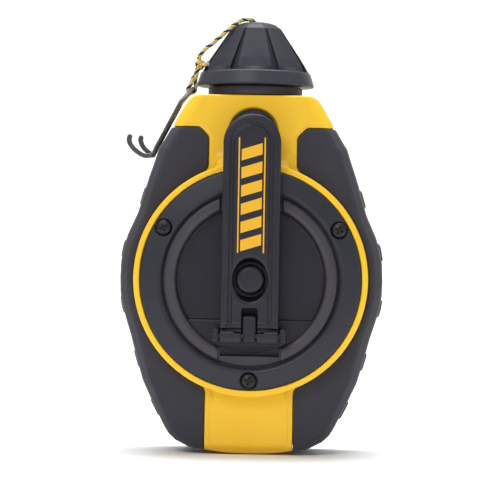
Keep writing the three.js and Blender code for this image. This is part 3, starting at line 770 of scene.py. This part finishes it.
HOOK_HALF = 5.0
STEEL = 1.5
PRONG_T = STEEL + 0.5
PRONG_INSIDE = 1.2        # where each prong starts, from the middle of the strip
NARROWING = (143.0, 152.0, 2.2)      # the strip narrows from one height to the other, by this much a side
EYE_R = 1.35
EYE_LEAN = (0.77, 0.64)
RIB_HALF, RIB_FOOT, RIB_TOP = 1.1, 127, 143
HOOK_STRIP = [[-25.5, 150.6], [-30.4, 145.1], [-40.2, 126.2], [-41.2, 123.9], [-42.3, 122.6]]
OUTER_PRONG = [
    [-42.1, 122.6], [-45.2, 122.3], [-48.4, 124.0], [-50.8, 126.4], [-51.7, 128.7], [-51.4, 130.2],
]
INNER_PRONG = [[-42.1, 122.8], [-44.3, 124.2], [-46.3, 126.2], [-47.3, 128.6], [-47.2, 130.0]]


def band_distance(px, pz, points, thickness):
    """Distance to a band of even thickness along a run of points."""
    nearest = np.full(px.shape, 1e9)
    for (ax, az), (bx, bz) in zip(points, points[1:]):
        ex, ez = bx - ax, bz - az
        t = np.clip(((px - ax) * ex + (pz - az) * ez) / (ex * ex + ez * ez), 0, 1)
        nearest = np.minimum(nearest, (px - ax - ex * t) ** 2 + (pz - az - ez * t) ** 2)
    return np.sqrt(nearest) - thickness / 2


def hook_field(p):
    x, y, z = p
    across = y - HOOK_Y
    start, end, cut = NARROWING
    narrow = np.clip((z - start) / (end - start), 0, 1)
    width = np.abs(across) - HOOK_HALF + cut * narrow**2
    hook = both(band_distance(x, z, HOOK_STRIP, STEEL), width, 0.35)
    for prong, low, high in (
        (OUTER_PRONG, -HOOK_HALF, -PRONG_INSIDE), (INNER_PRONG, PRONG_INSIDE, HOOK_HALF),
    ):
        bar = both(band_distance(x, z, smooth_run(prong, 3), PRONG_T), slab(across, low, high), 0.4)
        hook = either(hook, bar, 0.4)
    ex, ey, ez = EYE_AT
    slope = EYE_LEAN[0] * (x - ex) - EYE_LEAN[1] * (z - ez)
    along = np.sqrt(np.maximum((x - ex) ** 2 + (z - ez) ** 2 - slope**2, 0))
    eye = np.maximum(np.hypot(along, across) - EYE_R, np.abs(slope) - 3)
    stretch = np.maximum(np.abs(across) - RIB_HALF, slab(z, RIB_FOOT, RIB_TOP))
    rib = both(band_distance(x, z, HOOK_STRIP, PRONG_T), stretch, 0.4)
    return less(either(hook, rib, 0.5), eye, 0.25)


def make_hook():
    low, high = span("hook")
    return carve("hook_steel", hook_field, low - 1.5, high + 2.0, 0.26, "hook", "line_end", ["hook"])


LINE = lay_line("free_line", [in_world(LINE_ROUTE)], "chalk_line")
KNOT_PIECE = make_knot()
HOOK = make_hook()
[tuple(c * MM for c in point) for point in in_world(LINE_ROUTE)]

# ---- the case

BEVEL_X, BEVEL_Y = 3.7, 4.6
SOLE_RISE, SOLE_HALF = 1.7, 17.0      # the base curves up by this much, this far from the middle
RUBBER = 2.5
WALL = 2.7
GAP = 0.3
PARTING = 0.15                        # half of the gap between the front and back shells
CHAMBER_FRONT, BACK_WALL = -9.0, 3
NECK_HOLE_R, NECK_HOLE_FOOT = 17.9, 141
SCOOP_Z = DRUM_Z + 60.1
SCOOP_R, SCOOP_DEPTH, SCOOP_DRAFT = 10.3, 3.0, 0.15
REST_R, REST_FACE, REST_DISH = 9.6, 1.4, 0.004
GRIP_CHAMFER, COS_45 = 4, 0.7071
GRIP_CORNER = 2.4
BORDER_DEEP = 0.45                    # depth of the sunk border round the grips
LOW_BORDER, HIGH_BORDER, BORDER_CHANGE_Z = 1.9, 1.2, 60
right_side = [[half, height] for height, half in SIDE]
PLAN = Plan(right_side + [[-x, z] for x, z in reversed(right_side)])
# The same outline without its top corners and carried on above the case, for the bevel.
tall_side = right_side[:-3] + [[12.0, TOP_Z + 24]]
TALL_PLAN = Plan(tall_side + [[-x, z] for x, z in reversed(tall_side)])


def case_shape(p, inset=0.0):
    """The case as one block with bevelled faces."""
    x, y, z = p
    side = PLAN(x, z) + inset
    face = slab(y, FRONT_Y + inset, REAR_Y - inset)
    flank = TALL_PLAN(x, z) + inset
    corner = (flank / BEVEL_X + face / BEVEL_Y + 1) / math.hypot(1 / BEVEL_X, 1 / BEVEL_Y)
    sole = SOLE_RISE * (np.minimum(np.abs(x), SOLE_HALF) / SOLE_HALF) ** 2 + inset - z
    return both(both(both(side, face, 0.9), corner, 1.0), sole, 0.8)


def drum_radius(x, z):
    return np.hypot(x, z - DRUM_Z)


def hinge_radius(y, z):
    return np.hypot(y - HINGE_Y, z - HINGE_Z)


def grip_region(x, z, clearance, r=0.8):
    """Negative in the areas of the left and right grips, seen from the front."""
    inner = PANEL_HALF + clearance - np.abs(x)
    top = z - GRIP_TOP + clearance
    chamfer = (z - np.abs(x) - (GRIP_TOP - GRIP_CHAMFER - PANEL_HALF)) * COS_45 + clearance
    return both(both(inner, top, r), chamfer, r)


def grip_area(x, z, clearance):
    """The areas of the grips, kept clear of the drum and with soft corners beside it."""
    return both(grip_region(x, z, clearance), COLLAR_R + clearance - drum_radius(x, z), GRIP_CORNER)


def scoop(p):
    """The round pocket behind the tip of the arm."""
    x, y, z = p
    radius = np.hypot(x, z - SCOOP_Z)
    return both(radius - SCOOP_R + SCOOP_DRAFT * (y - FRONT_Y), y - FRONT_Y - SCOOP_DEPTH, 0.3)


def rest_field(p):
    """The rubber pad in the scoop."""
    x, y, z = p
    radius = np.hypot(x, z - SCOOP_Z)
    face = FRONT_Y + REST_FACE + REST_DISH * radius**2
    return both(radius - REST_R, slab(y, face, FRONT_Y + SCOOP_DEPTH - GAP), 0.3)


def bare_case(p):
    """The yellow surface with its sunk borders round the grips."""
    x, y, z = p
    region = grip_area(x, z, 0.0)
    shape = case_shape(p)
    border_width = np.where(z < BORDER_CHANGE_Z, LOW_BORDER, HIGH_BORDER)
    face = slab(y, FRONT_Y + BORDER_DEEP, REAR_Y - BORDER_DEEP)
    border = both(region - border_width, -face, 0.25)
    side_step = both(region - 1.0, -(PLAN(x, z) + BORDER_DEEP), 0.2)
    side_step = both(side_step, z - GRIP_TOP - 1.0, 0.2)
    shape = less(shape, border, 0.3)
    shape = less(shape, side_step, 0.2)
    core = case_shape(p, RUBBER + GAP)
    return np.minimum(less(shape, region, 0.35), core)


def hollow(shape, p):
    """A shell with the chalk chamber and the hole for the neck taken out of it."""
    x, y, z = p
    chamber = both(PLAN(x, z) + RUBBER + GAP + WALL, slab(y, CHAMBER_FRONT, REAR_Y - BACK_WALL), 1.0)
    neck_room = np.maximum(np.hypot(x, y - NOSE_Y) - NECK_HOLE_R, NECK_HOLE_FOOT - z)
    return less(less(shape, chamber, 0.4), neck_room, 0.3)


COLLAR_FLARE = 7.0                    # radius of the fillet where the bare panel runs into the collar
CUP_R, CUP_FRONT, CUP_BACK = 44.6, -16.0, -3.8
# Bores in the collar and the cup: radius, y of the floor and rounding of the mouth.
BORES = [(45.3, -16.7, 0.25), (39.0, -5.8, 0.3)]
AXLE_HOLE_R = 7.6


def front_shell(p):
    x, y, z = p
    r = drum_radius(x, z)
    shape = less(bare_case(p), scoop(p), 0.35)
    collar = both(r - COLLAR_R, slab(y, COLLAR_Y, CHAMBER_FRONT), 0.6)
    flare = np.clip((PANEL_HALF - 1.5 - np.abs(x)) / 2.0, 0, 1)
    shape = either(shape, collar, 0.12 + COLLAR_FLARE * flare)
    shape = hollow(shape, p)
    shape = np.minimum(shape, both(r - CUP_R, slab(y, CUP_FRONT, CUP_BACK), 0.5))
    for radius, floor, mouth in BORES:
        shape = less(shape, both(r - radius, y - floor, 0.2), mouth)
    shape = less(shape, r - AXLE_HOLE_R, 0.3)
    return both(shape, y - (SPLIT_Y - PARTING), 0.45)


BACK_RING_R, BACK_RING_HALF, BACK_RING_DEEP = 43.5, 0.7, 0.6
BOSS_R, BOSS_FRONT, BOSS_BACK = 6, 24, 26
AXLE_SOCKET_R, AXLE_SOCKET_Y = 2.8, 27.3
POST_R, POST_BACK = 4.2, 25.6
HEAD_WELL_R, HEAD_WELL_Y = 3.3, 24.3


def back_shell(p):
    x, y, z = p
    r = drum_radius(x, z)
    disc = both(r - COLLAR_R, case_shape(p), 0.4)
    shape = np.minimum(bare_case(p), disc)
    ring = both(np.abs(r - BACK_RING_R) - BACK_RING_HALF, REAR_Y - BACK_RING_DEEP - y, 0.3)
    shape = hollow(less(shape, ring, 0.4), p)
    axle_boss = both(r - BOSS_R, slab(y, BOSS_FRONT, BOSS_BACK), 0.3)
    shape = less(np.minimum(shape, axle_boss), np.maximum(r - AXLE_SOCKET_R, y - AXLE_SOCKET_Y), 0.2)
    for sx, sz in CASE_SCREWS:
        off = np.hypot(x - sx, z - sz)
        shape = np.minimum(shape, np.maximum(off - POST_R, slab(y, SPLIT_Y + 0.2, POST_BACK)))
        shape = less(shape, np.maximum(off - HEAD_WELL_R, HEAD_WELL_Y - y), 0.25)
    return both(shape, (SPLIT_Y + PARTING) - y, 0.45)


CREASE_R, CREASE_FALL = 55.8, 0.10    # low down, the face of the grips falls away outside this radius
CREASE_TOP = DRUM_Z - 18
GRIP_WELL_R, GRIP_WELL_Y = 4.0, 20
PAD_FRONT, PAD_BACK = -4.5, 18.5


def grip_field(p):
    """All four grips, before they are parted."""
    x, y, z = p
    r = drum_radius(x, z)
    shape = case_shape(p)
    beyond = np.where(z < CREASE_TOP, r - CREASE_R, -5.0)
    fall = np.maximum(FRONT_Y - y, y - REAR_Y) + CREASE_FALL * beyond
    shape = both(shape, fall, 0.5)
    side = PLAN(x, z)
    for height in PAD_HEIGHTS:
        pad = both(side - PAD_RISE, slab(z, height - PAD_HALF, height + PAD_HALF), 0.8)
        pad = both(pad, slab(y, PAD_FRONT, PAD_BACK), 1.2)
        shape = either(shape, np.maximum(pad, -side - 4), 0.35)
    shape = both(shape, grip_area(x, z, GAP), 0.7)
    shape = less(shape, case_shape(p, RUBBER), 0.4)
    for sx, sz in CASE_SCREWS:
        shape = less(shape, np.maximum(np.hypot(x - sx, z - sz) - GRIP_WELL_R, GRIP_WELL_Y - y), 0.5)
    return shape


SIDE_MAX = max(half for _, half in SIDE)
SHELL_STEP, GRIP_STEP, REST_STEP = 0.62, 0.5, 0.35


def make_shells():
    half = COLLAR_R + 3
    for name, field, front, back, node in (
        ("case_front", front_shell, COLLAR_Y, SPLIT_Y, "front_housing"),
        ("case_back", back_shell, SPLIT_Y, REAR_Y, "rear_housing"),
    ):
        carve(name, field, [-half, front, 0], [half, back, TOP_Z], SHELL_STEP, "yellow", "case", [node])


def make_grip(name, hand, side, limit, part, y_range):
    """One grip: the side of the case it is on, and where it parts from its neighbour."""
    def field(p):
        return both(np.maximum(grip_field(p), -side * p[0]), part * (p[1] - limit), 0.5)

    x_range = sorted((side * PANEL_HALF, side * (SIDE_MAX + 1.5)))
    carve(
        f"grip_{name}_{hand}", field, [x_range[0], y_range[0], 0], [x_range[1], y_range[1], GRIP_TOP],
        GRIP_STEP, "rubber", "case", [f"{name}_{hand}_grip"],
    )


def make_case():
    make_shells()
    before, behind = SPLIT_Y - PARTING, SPLIT_Y + PARTING
    for side, hand in ((-1, "left"), (1, "right")):
        make_grip("front", hand, side, before, 1, (FRONT_Y, before))
        make_grip("rear", hand, side, behind, -1, (behind, REAR_Y))
    half = SCOOP_R + 0.2
    low, high = [-half, FRONT_Y + 1, SCOOP_Z - half], [half, FRONT_Y + 3, SCOOP_Z + half]
    carve("knob_rest", rest_field, low, high, REST_STEP, "rubber", "case", ["scoop_pad"])


make_case()

# ---- cover and crank disc


def profile(points, soft=0.25, step=0.12):
    """A turned outline of [radius, place along the axis], with its corners softened."""
    plan = Plan(points, step, 4.0)
    passes = max(1, int(round(soft / step)))
    grid = plan.grid
    for _ in range(passes):
        for axis in (0, 1):
            ahead, behind = np.roll(grid, 1, axis), np.roll(grid, -1, axis)
            grid = 0.25 * ahead + 0.5 * grid + 0.25 * behind
    plan.grid = grid
    return plan


COVER_PROFILE = profile([
    [45.0, -17.0], [COVER_R, COVER_Y + 1.6], [44.6, COVER_Y + 1.0], [38.2, COVER_Y], [37.2, COVER_Y + 0.25],
    [36.2, COVER_Y + 1.1], [36.0, -19.2], [39.2, -19.2], [39.2, -17],
])
COVER_WELL_R, COVER_WELL_Y, SCREW_HOLE_R = 3.65, -20.2, 1.6


def cover_field(p):
    x, y, z = p
    shape = COVER_PROFILE(drum_radius(x, z), y)
    for sx, sz in COVER_SCREWS:
        off = np.hypot(x - sx, z - sz)
        shape = less(shape, np.maximum(off - COVER_WELL_R, y - COVER_WELL_Y), 0.25)
        shape = less(shape, off - SCREW_HOLE_R, 0.1)
    return shape


DISC_PROFILE = profile([
    [0, -17.5], [29.4, -17.5], [30.2, -18.0], [30.6, -20.9], [31.2, -21.5], [32.4, -21.8], [34.8, -21.6],
    [35.4, -21.0], [35.3, -18.9], [38.4, -18.9], [38.4, -16.9], [36, -16.9], [36, -14.6], [8, -14.6],
    [8, -15.9], [0, -15.9], [-8, -15.9], [-8, -17.5],
], 0.3)
# Parts of the disc, with z from the drum's axis: x, y and z ranges, and the rounding of the edges.
LUG = ((-2.8, 2.8), (-27.7, -16), (-25.5, -14.5), 1.2)
EARS = [((low, low + 2.6), (-28, -16), (-25.4, -19.8), 0.8) for low in (-14.9, 12.3)]
CUTS = [
    ((-12, 12), (-40, -15.3), (-31.2, -27.2), 0.3),
    ((-12.8, 12.8), (-40, -19.5), (-40, -27.2), 0.3),
    ((-12.8, 12.8), (-40, -19.5), (27.5, 40), 0.3),
]
SHELF_R, SHELF_FACE, SHELF_TOP = 30.2, -19.2, -16.2
GUIDE_R, GUIDE_FACE = 7.5, -21.8
BUTTON_HOLE_R = 5.8
PIN_HOLE_R = 1.8


def disc_field(p):
    x, y, z = p
    up = z - DRUM_Z
    r = drum_radius(x, z)
    place = [x, y, up]
    shelf = both(both(r - SHELF_R, slab(y, SHELF_FACE, -16), 0.3), up - SHELF_TOP, 1.0)
    shape = either(DISC_PROFILE(r, y), shelf, 0.3)
    shape = either(shape, both(r - GUIDE_R, slab(y, GUIDE_FACE, -17), 0.4), 0.5)
    shape = either(shape, block(place, *LUG), 0.3)
    for ear in EARS:
        shape = either(shape, block(place, *ear), 0.4)
    shape = less(shape, r - BUTTON_HOLE_R, 0.3)
    for cut in CUTS:
        shape = less(shape, block(place, *cut), 0.35)
    return less(shape, hinge_radius(y, z) - PIN_HOLE_R, 0.15)


# ---- arm, knob and button

TIP = ARM_TIP - ARM_HALF - DRUM_Z
FOOT = ARM_FOOT - DRUM_Z
PANEL_W = 7.45
PANEL_DEEP = 0.75
PANEL_FOOT = -17.5                    # the panel and its border stop here, above the hinge
PANEL_FLOOR = ARM_FRONT + PANEL_DEEP
GROOVE_HALF, GROOVE_OUT = 0.8, 0.6
GROOVE_DEEP, LAND_DEEP = 0.45, 0.35   # below the panel's floor
STRIP_FOOT = -60                      # well below the arm
CROWN_FOOT, CROWN_RISE, CROWN_WIDTH = -17.8, 0.5, 2.2
# Ovals round the button: half width, half height, for the hole and for the sunk land round it.
EYE_HOLE, EYE_LAND = (7.15, 9.0), (7.9, 9.8)
STEP_HALF, STEP_FOOT, STEP_TOP, STEP_DEEP = 9.4, -20.6, -18.0, 1.3
KNUCKLE_R, KNUCKLE_TOP = 3.3, -19.6
TONGUE = ((-3.25, 3.25), (-40, 0), (-40, -11.4), 0.8)
NOTCH_X, NOTCH_UP, NOTCH_HALF, NOTCH_R, NOTCH_DEEP = 4.4, -21.0, 1.1, 0.7, 1.9
KNOB_HOLE_R, KNOB_HOLE_FRONT = 2.3, -26.1


def stadium(x, up, half):
    """Distance to a long strip that has a round top at the tip of the arm."""
    return np.maximum(np.hypot(x, np.maximum(up - TIP, 0)) - half, STRIP_FOOT - up)


def oval(x, up, size):
    half_width, half_height = size
    return (np.hypot(x / half_width, up / half_height) - 1) * half_width


def arm_body(x, y, up):
    """The arm's outline with a raised, rounded border on its face."""
    outline = both(np.hypot(x, np.maximum(up - TIP, 0)) - ARM_HALF, FOOT - up, 2.0)
    shape = both(outline, slab(y, ARM_FRONT, ARM_BACK), 0.6)
    bend = np.clip((np.abs(outline) - CROWN_WIDTH) / CROWN_WIDTH, -1, 1)
    crown = ARM_FRONT + CROWN_RISE * bend**2 - y
    return both(shape, np.where(up > CROWN_FOOT, crown, -1.0), 0.4)


def arm_field(p):
    x, y, z = p
    up = z - DRUM_Z
    groove = np.abs(stadium(x, up, PANEL_W + GROOVE_OUT)) - GROOVE_HALF
    groove = both(both(groove, y - PANEL_FLOOR - GROOVE_DEEP, 0.3), PANEL_FOOT - up, 0.3)
    shape = less(arm_body(x, y, up), groove, 0.4)
    panel = both(stadium(x, up, PANEL_W), y - PANEL_FLOOR, 0.25)
    shape = less(shape, both(panel, PANEL_FOOT - up, 0.4), 0.35)
    shape = less(shape, oval(x, up, EYE_HOLE), 0.7)
    shape = less(shape, both(oval(x, up, EYE_LAND), y - PANEL_FLOOR - LAND_DEEP, 0.2), 0.3)
    step = both(np.abs(x) - STEP_HALF, slab(up, STEP_FOOT, STEP_TOP), 0.3)
    shape = less(shape, both(step, y - ARM_FRONT - STEP_DEEP, 0.4), 0.35)
    knuckle = np.hypot(y - HINGE_Y, up - (HINGE_Z - DRUM_Z)) - KNUCKLE_R
    shape = less(shape, both(up - KNUCKLE_TOP, -knuckle, 0.3), 0.3)
    shape = less(shape, block([x, y, up], *TONGUE), 0.45)
    off = np.hypot(np.maximum(np.abs(np.abs(x) - NOTCH_X) - NOTCH_HALF, 0), up - NOTCH_UP)
    shape = less(shape, both(off - NOTCH_R, y - ARM_FRONT - NOTCH_DEEP, 0.2), 0.2)
    shape = less(shape, hinge_radius(y, z) - PIN_HOLE_R, 0.2)
    return less(shape, np.maximum(np.hypot(x, z - KNOB_Z) - KNOB_HOLE_R, KNOB_HOLE_FRONT - y), 0.2)


def prism_mesh(name, outlines, y_front, y_back):
    """Thin closed plates from outlines of [x, z]."""
    vertices, faces = [], []
    for outline in outlines:
        start, count = len(vertices), len(outline)
        vertices += [(x * MM, y * MM, z * MM) for y in (y_front, y_back) for x, z in outline]
        faces.append([start + i for i in range(count)])
        faces.append([start + count + i for i in reversed(range(count))])
        for i in range(count):
            j = (i + 1) % count
            faces.append([start + j, start + i, start + count + i, start + count + j])
    mesh = bpy.data.meshes.new(name)
    mesh.from_pydata(vertices, [], faces)
    mesh.update()
    return add_object(name, mesh)


MARK_TOP, MARK_FOOT = DRUM_Z + 57.4, DRUM_Z + 10.8
STRIPE_X, STRIPE_HALF = 5.2, 0.28
BAR_COUNT, BAR_HALF, BAR_RISE, BAR_SHARE, BAR_LIFT = 6, 4.2, 2.6, 0.62, 0.6
MARK_PROUD, MARK_SUNK = 0.07, 0.1


def make_arm_marks():
    """Two thin stripes with a ladder of slanted bars between them, printed on the panel."""
    outlines = []
    for middle in (-STRIPE_X, STRIPE_X):
        left, right = middle - STRIPE_HALF, middle + STRIPE_HALF
        outlines.append([[left, MARK_FOOT], [right, MARK_FOOT], [right, MARK_TOP], [left, MARK_TOP]])
    pitch = (MARK_TOP - MARK_FOOT - BAR_RISE) / BAR_COUNT
    for i in range(BAR_COUNT):
        low = MARK_FOOT + BAR_LIFT + pitch * i
        high = low + pitch * BAR_SHARE
        outlines.append([
            [-BAR_HALF, low], [BAR_HALF, low + BAR_RISE], [BAR_HALF, high + BAR_RISE], [-BAR_HALF, high],
        ])
    marks = prism_mesh("arm_marks", outlines, PANEL_FLOOR - MARK_PROUD, PANEL_FLOOR + MARK_SUNK)
    wear(marks, "print")
    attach(marks, "arm")


KNOB_PROFILE = profile([
    [2.3, -22.2], [6.4, -22.2], [6.9, -21.4], [6.6, -19.8], [7.2, -18.2], [7.5, -17.2], [7.5, -16.2],
    [6.8, -15.4], [4, -15.4], [4, -17.2], [2.3, -17.2],
])
BUTTON_PROFILE = profile([
    [-3, -28.2], [0, -28.2], [4.3, -28.1], [5.1, -27.5], [5.5, -26.6], [5.5, -20], [4.6, -20], [4.6, -26.1],
    [1.9, -26.1], [1.9, -14.9], [-3, -14.9],
], 0.2, 0.1)


RIB_R, RIB_DEEP, RIB_COUNT = 7.2, 0.25, 16


def knob_field(p):
    x, y, z = p
    radius = np.hypot(x, z - KNOB_Z)
    shape = KNOB_PROFILE(radius, y)
    ribs = radius - RIB_R - RIB_DEEP * np.cos(RIB_COUNT * np.arctan2(z - KNOB_Z, x))
    return both(shape, ribs, 0.2)


def button_field(p):
    x, y, z = p
    return BUTTON_PROFILE(drum_radius(x, z), y)


def around_drum(radius, y_low, y_high):
    return [-radius, y_low, DRUM_Z - radius], [radius, y_high, DRUM_Z + radius]


def make_drum_face():
    low, high = around_drum(COVER_R + 0.5, COVER_Y, -17)
    carve("cover_ring", cover_field, low, high, 0.36, "cover", "case", ["gear_cover"])
    low, high = around_drum(39.5, -28.2, -14.5)
    carve("crank_plate", disc_field, low, high, 0.4, "plate", "crank", ["crank_disc"])
    carve_node("arm", arm_field, "crank_arm", 0.3, "arm", "arm")
    make_arm_marks()
    carve_node("knob", knob_field, "handle_knob", 0.26, "arm", "knob")
    carve_node("button", button_field, "clutch_button", 0.24, "arm", "clutch")


# ---- screws and hinge pin

HEAD = profile([
    [-2, -1.6], [0, -1.6], [1.4, -1.5], [2.6, -1.15], [3.15, -0.5], [3.25, 0], [1.3, 0], [1.3, 6.0],
    [-2, 6.0],
], 0.12, 0.08)


HEAD_TOP = -1.6
BLADE_HALF, BLADE_REACH, BLADE_SLOPE, CROSS_R, CROSS_FLOOR = 0.34, 1.75, 0.4, 0.75, -0.55
TURNED_RING_R, TURNED_RING_FLOOR = 2.3, -1.15


def screw_field(p):
    """A pan head with a cross recess; its seat is at y = 0."""
    x, y, z = p
    radius = np.hypot(x, z)
    reach = BLADE_REACH + BLADE_SLOPE * (HEAD_TOP - y)
    blades = [np.maximum(np.abs(a) - BLADE_HALF, np.abs(b) - reach) for a, b in ((x, z), (z, x))]
    cross = np.minimum(np.minimum(*blades), radius - CROSS_R)
    recess = np.maximum(cross, y - CROSS_FLOOR)
    ring = both(np.abs(radius - TURNED_RING_R) - 0.12, y - TURNED_RING_FLOOR, 0.1)
    return less(less(HEAD(radius, y), recess, 0.1), ring, 0.1)


SCREW_STEP = 0.15
SCREW_LOW, SCREW_HIGH = np.array([-3.2, -2.0, -3.2]), np.array([3.2, 6.2, 3.2])
# For each set of screws: places, y of the seat, the way it faces, first turn and step of turn.
SCREW_SETS = {
    "cover_screw": (COVER_SCREWS, -20.5, 1, 25, 40),
    "case_screw": (CASE_SCREWS, 24.6, -1, 15, 50),
}


def place_screw(name, net_of_head, seat, way, turn):
    vertices, faces, normals = net_of_head
    cos, sin = math.cos(math.radians(turn)), math.sin(math.radians(turn))
    spin = np.array([[cos, 0, sin], [0, 1, 0], [-sin, 0, cos]])
    rotate = np.diag([way, way, 1]) @ spin
    piece = mesh_object(name + "_head", vertices @ rotate.T + seat, faces, normals @ rotate.T)
    wear(piece, "screw")
    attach(piece, "case")
    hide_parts(name)


def make_screws():
    head = net(screw_field, SCREW_LOW, SCREW_HIGH, SCREW_STEP)
    for name, (places, y, way, first_turn, turn_step) in SCREW_SETS.items():
        for i, (x, z) in enumerate(places):
            place_screw(f"{name}_{i + 1}", head, [x, y, z], way, first_turn + turn_step * i)


PIN_R, PIN_HALF, PIN_RING_X, PIN_RING_R = 1.5, 14.8, 13.9, 1.3


def pin_field(p):
    x, y, z = p
    radius = hinge_radius(y, z)
    pin = both(radius - PIN_R, np.abs(x) - PIN_HALF, 0.4)
    rings = both(np.abs(np.abs(x) - PIN_RING_X) - 0.15, PIN_RING_R - radius, 0.1)
    return less(pin, rings, 0.1)


make_drum_face()
make_screws()
carve_node("hinge_rod", pin_field, "hinge_pin", 0.22, "screw", "crank")

# ---- nose

CAP_OUTSIDE = profile([
    [-4, 152.0], [-4, 179.0], [4.0, 179.0], [5.8, 178.7], [8.2, 177.9], [10.7, 176.1], [19.3, 163.2],
    [22.5, 157.9], [23.0, 157.4], [24.5, 152.5], [24.2, 152.0],
], 0.12, 0.12)
CAP_INSIDE = profile([
    [-4, 148], [20.4, 148], [20.4, 152.0], [17.4, 152.4], [17.4, 161.6], [7.9, 164.2], [7.9, 171.8],
    [1.3, 172.6], [1.3, 174.5], [1.6, 176.2], [2.2, 177.6], [3.0, 178.5], [4.0, 180], [-4, 180],
], 0.2, 0.15)
# The cone between the flutes: radius at each height.
CONE_Z, CONE_R = [157.9, 163.2, 176.1, 178.8], [22.5, 19.3, 10.7, 6.5]
FLUTE_TOP, FLUTE_FOOT = 177.4, 158.0
FLUTE_HALF, FLUTE_SPREAD, FLUTE_DEEP = 0.3, 1.4, 0.5
FACETS = 8
FACET_TOP, FACET_SHARE, FACET_OUT = 179.6, 0.75, 0.35
FOOT_FADE, TOP_FADE = 1.5, 2


def cap_field(p):
    x, y, z = p
    depth = y - NOSE_Y
    radius = np.hypot(x, depth)
    sector = 2 * math.pi / FACETS
    angle = (np.arctan2(depth, x) + sector / 2) % sector - sector / 2
    flat = radius * np.cos(angle) + FACET_OUT
    above_foot = np.clip((z - FLUTE_FOOT) / FOOT_FADE, 0, 1)
    facet = FACET_SHARE * above_foot * np.clip((FACET_TOP - z) / TOP_FADE, 0, 1)
    shape = CAP_OUTSIDE(radius * (1 - facet) + facet * flat, z)
    spread = FLUTE_SPREAD * np.clip((FLUTE_TOP - z) / (FLUTE_TOP - FLUTE_FOOT), 0, 1)
    to_groove = radius * np.sin(sector / 2 - np.abs(angle))
    floor_r = np.interp(z, CONE_Z, CONE_R) - spread - FLUTE_DEEP
    groove = both(to_groove - FLUTE_HALF - spread, floor_r - radius, 0.2)
    groove = both(groove, FLUTE_FOOT - z, 0.2)
    return less(less(shape, groove, 0.35), CAP_INSIDE(radius, z), 0.2)


NECK_PROFILE = profile([
    [14.2, 142.6], [18.5, 142.6], [18.5, 144.9], [17.6, 144.9], [17.6, 147.9], [NECK_R - 0.2, 147.9],
    [NECK_R, 148.1], [NECK_R, 151.3], [NECK_R - 0.3, 151.6], [16.9, 151.6], [16.9, 155.2], [15.2, 155.2],
    [15.2, 157.2], [16.9, 157.2], [16.9, 160], [14.2, 160],
], 0.2, 0.12)


THREAD_LOW, THREAD_HIGH, THREAD_PITCH, THREAD_RISE = 150.9, 154.8, 2.2, 0.35
THREAD_R, THREAD_ROOT, THREAD_START = 16.9, 16.5, 150


def neck_field(p):
    x, y, z = p
    depth = y - NOSE_Y
    radius = np.hypot(x, depth)
    wave = np.sin(2 * math.pi * (z - THREAD_START) / THREAD_PITCH - np.arctan2(depth, x))
    crest = THREAD_R + THREAD_RISE * np.maximum(wave, 0)
    thread = both(radius - crest, slab(z, THREAD_LOW, THREAD_HIGH), 0.3)
    return np.minimum(NECK_PROFILE(radius, z), np.maximum(thread, THREAD_ROOT - radius))


carve_node("cap", cap_field, "nose_cap", 0.38, "cap", "cap")
carve_node("neck", neck_field, "neck_collar", 0.42, "neck", "case")

# ---- the CAD pieces that show as they are

CARRIED = {
    "gear": ["ring_gear", "sun_gear", "planet_gear_1", "planet_gear_2", "planet_gear_3"],
    "bright": [
        "planet_pin_1", "planet_pin_2", "planet_pin_3", "gear_plate", "spool_axle", "spool_washer",
        "button_clip", "clutch_spring", "knob_axle",
    ],
    "felt": ["felt_wiper", "spool_seal"],
    "rubber": ["neck_seal"],
    "disc": ["spool"],
    "wound": ["line_winding", "line_inside"],
}
for look, names in CARRIED.items():
    for name in names:
        node = frame["nodes"][name]
        for slot in node.material_slots:
            slot.material = LOOKS[look].material

make_light()
make_floor()
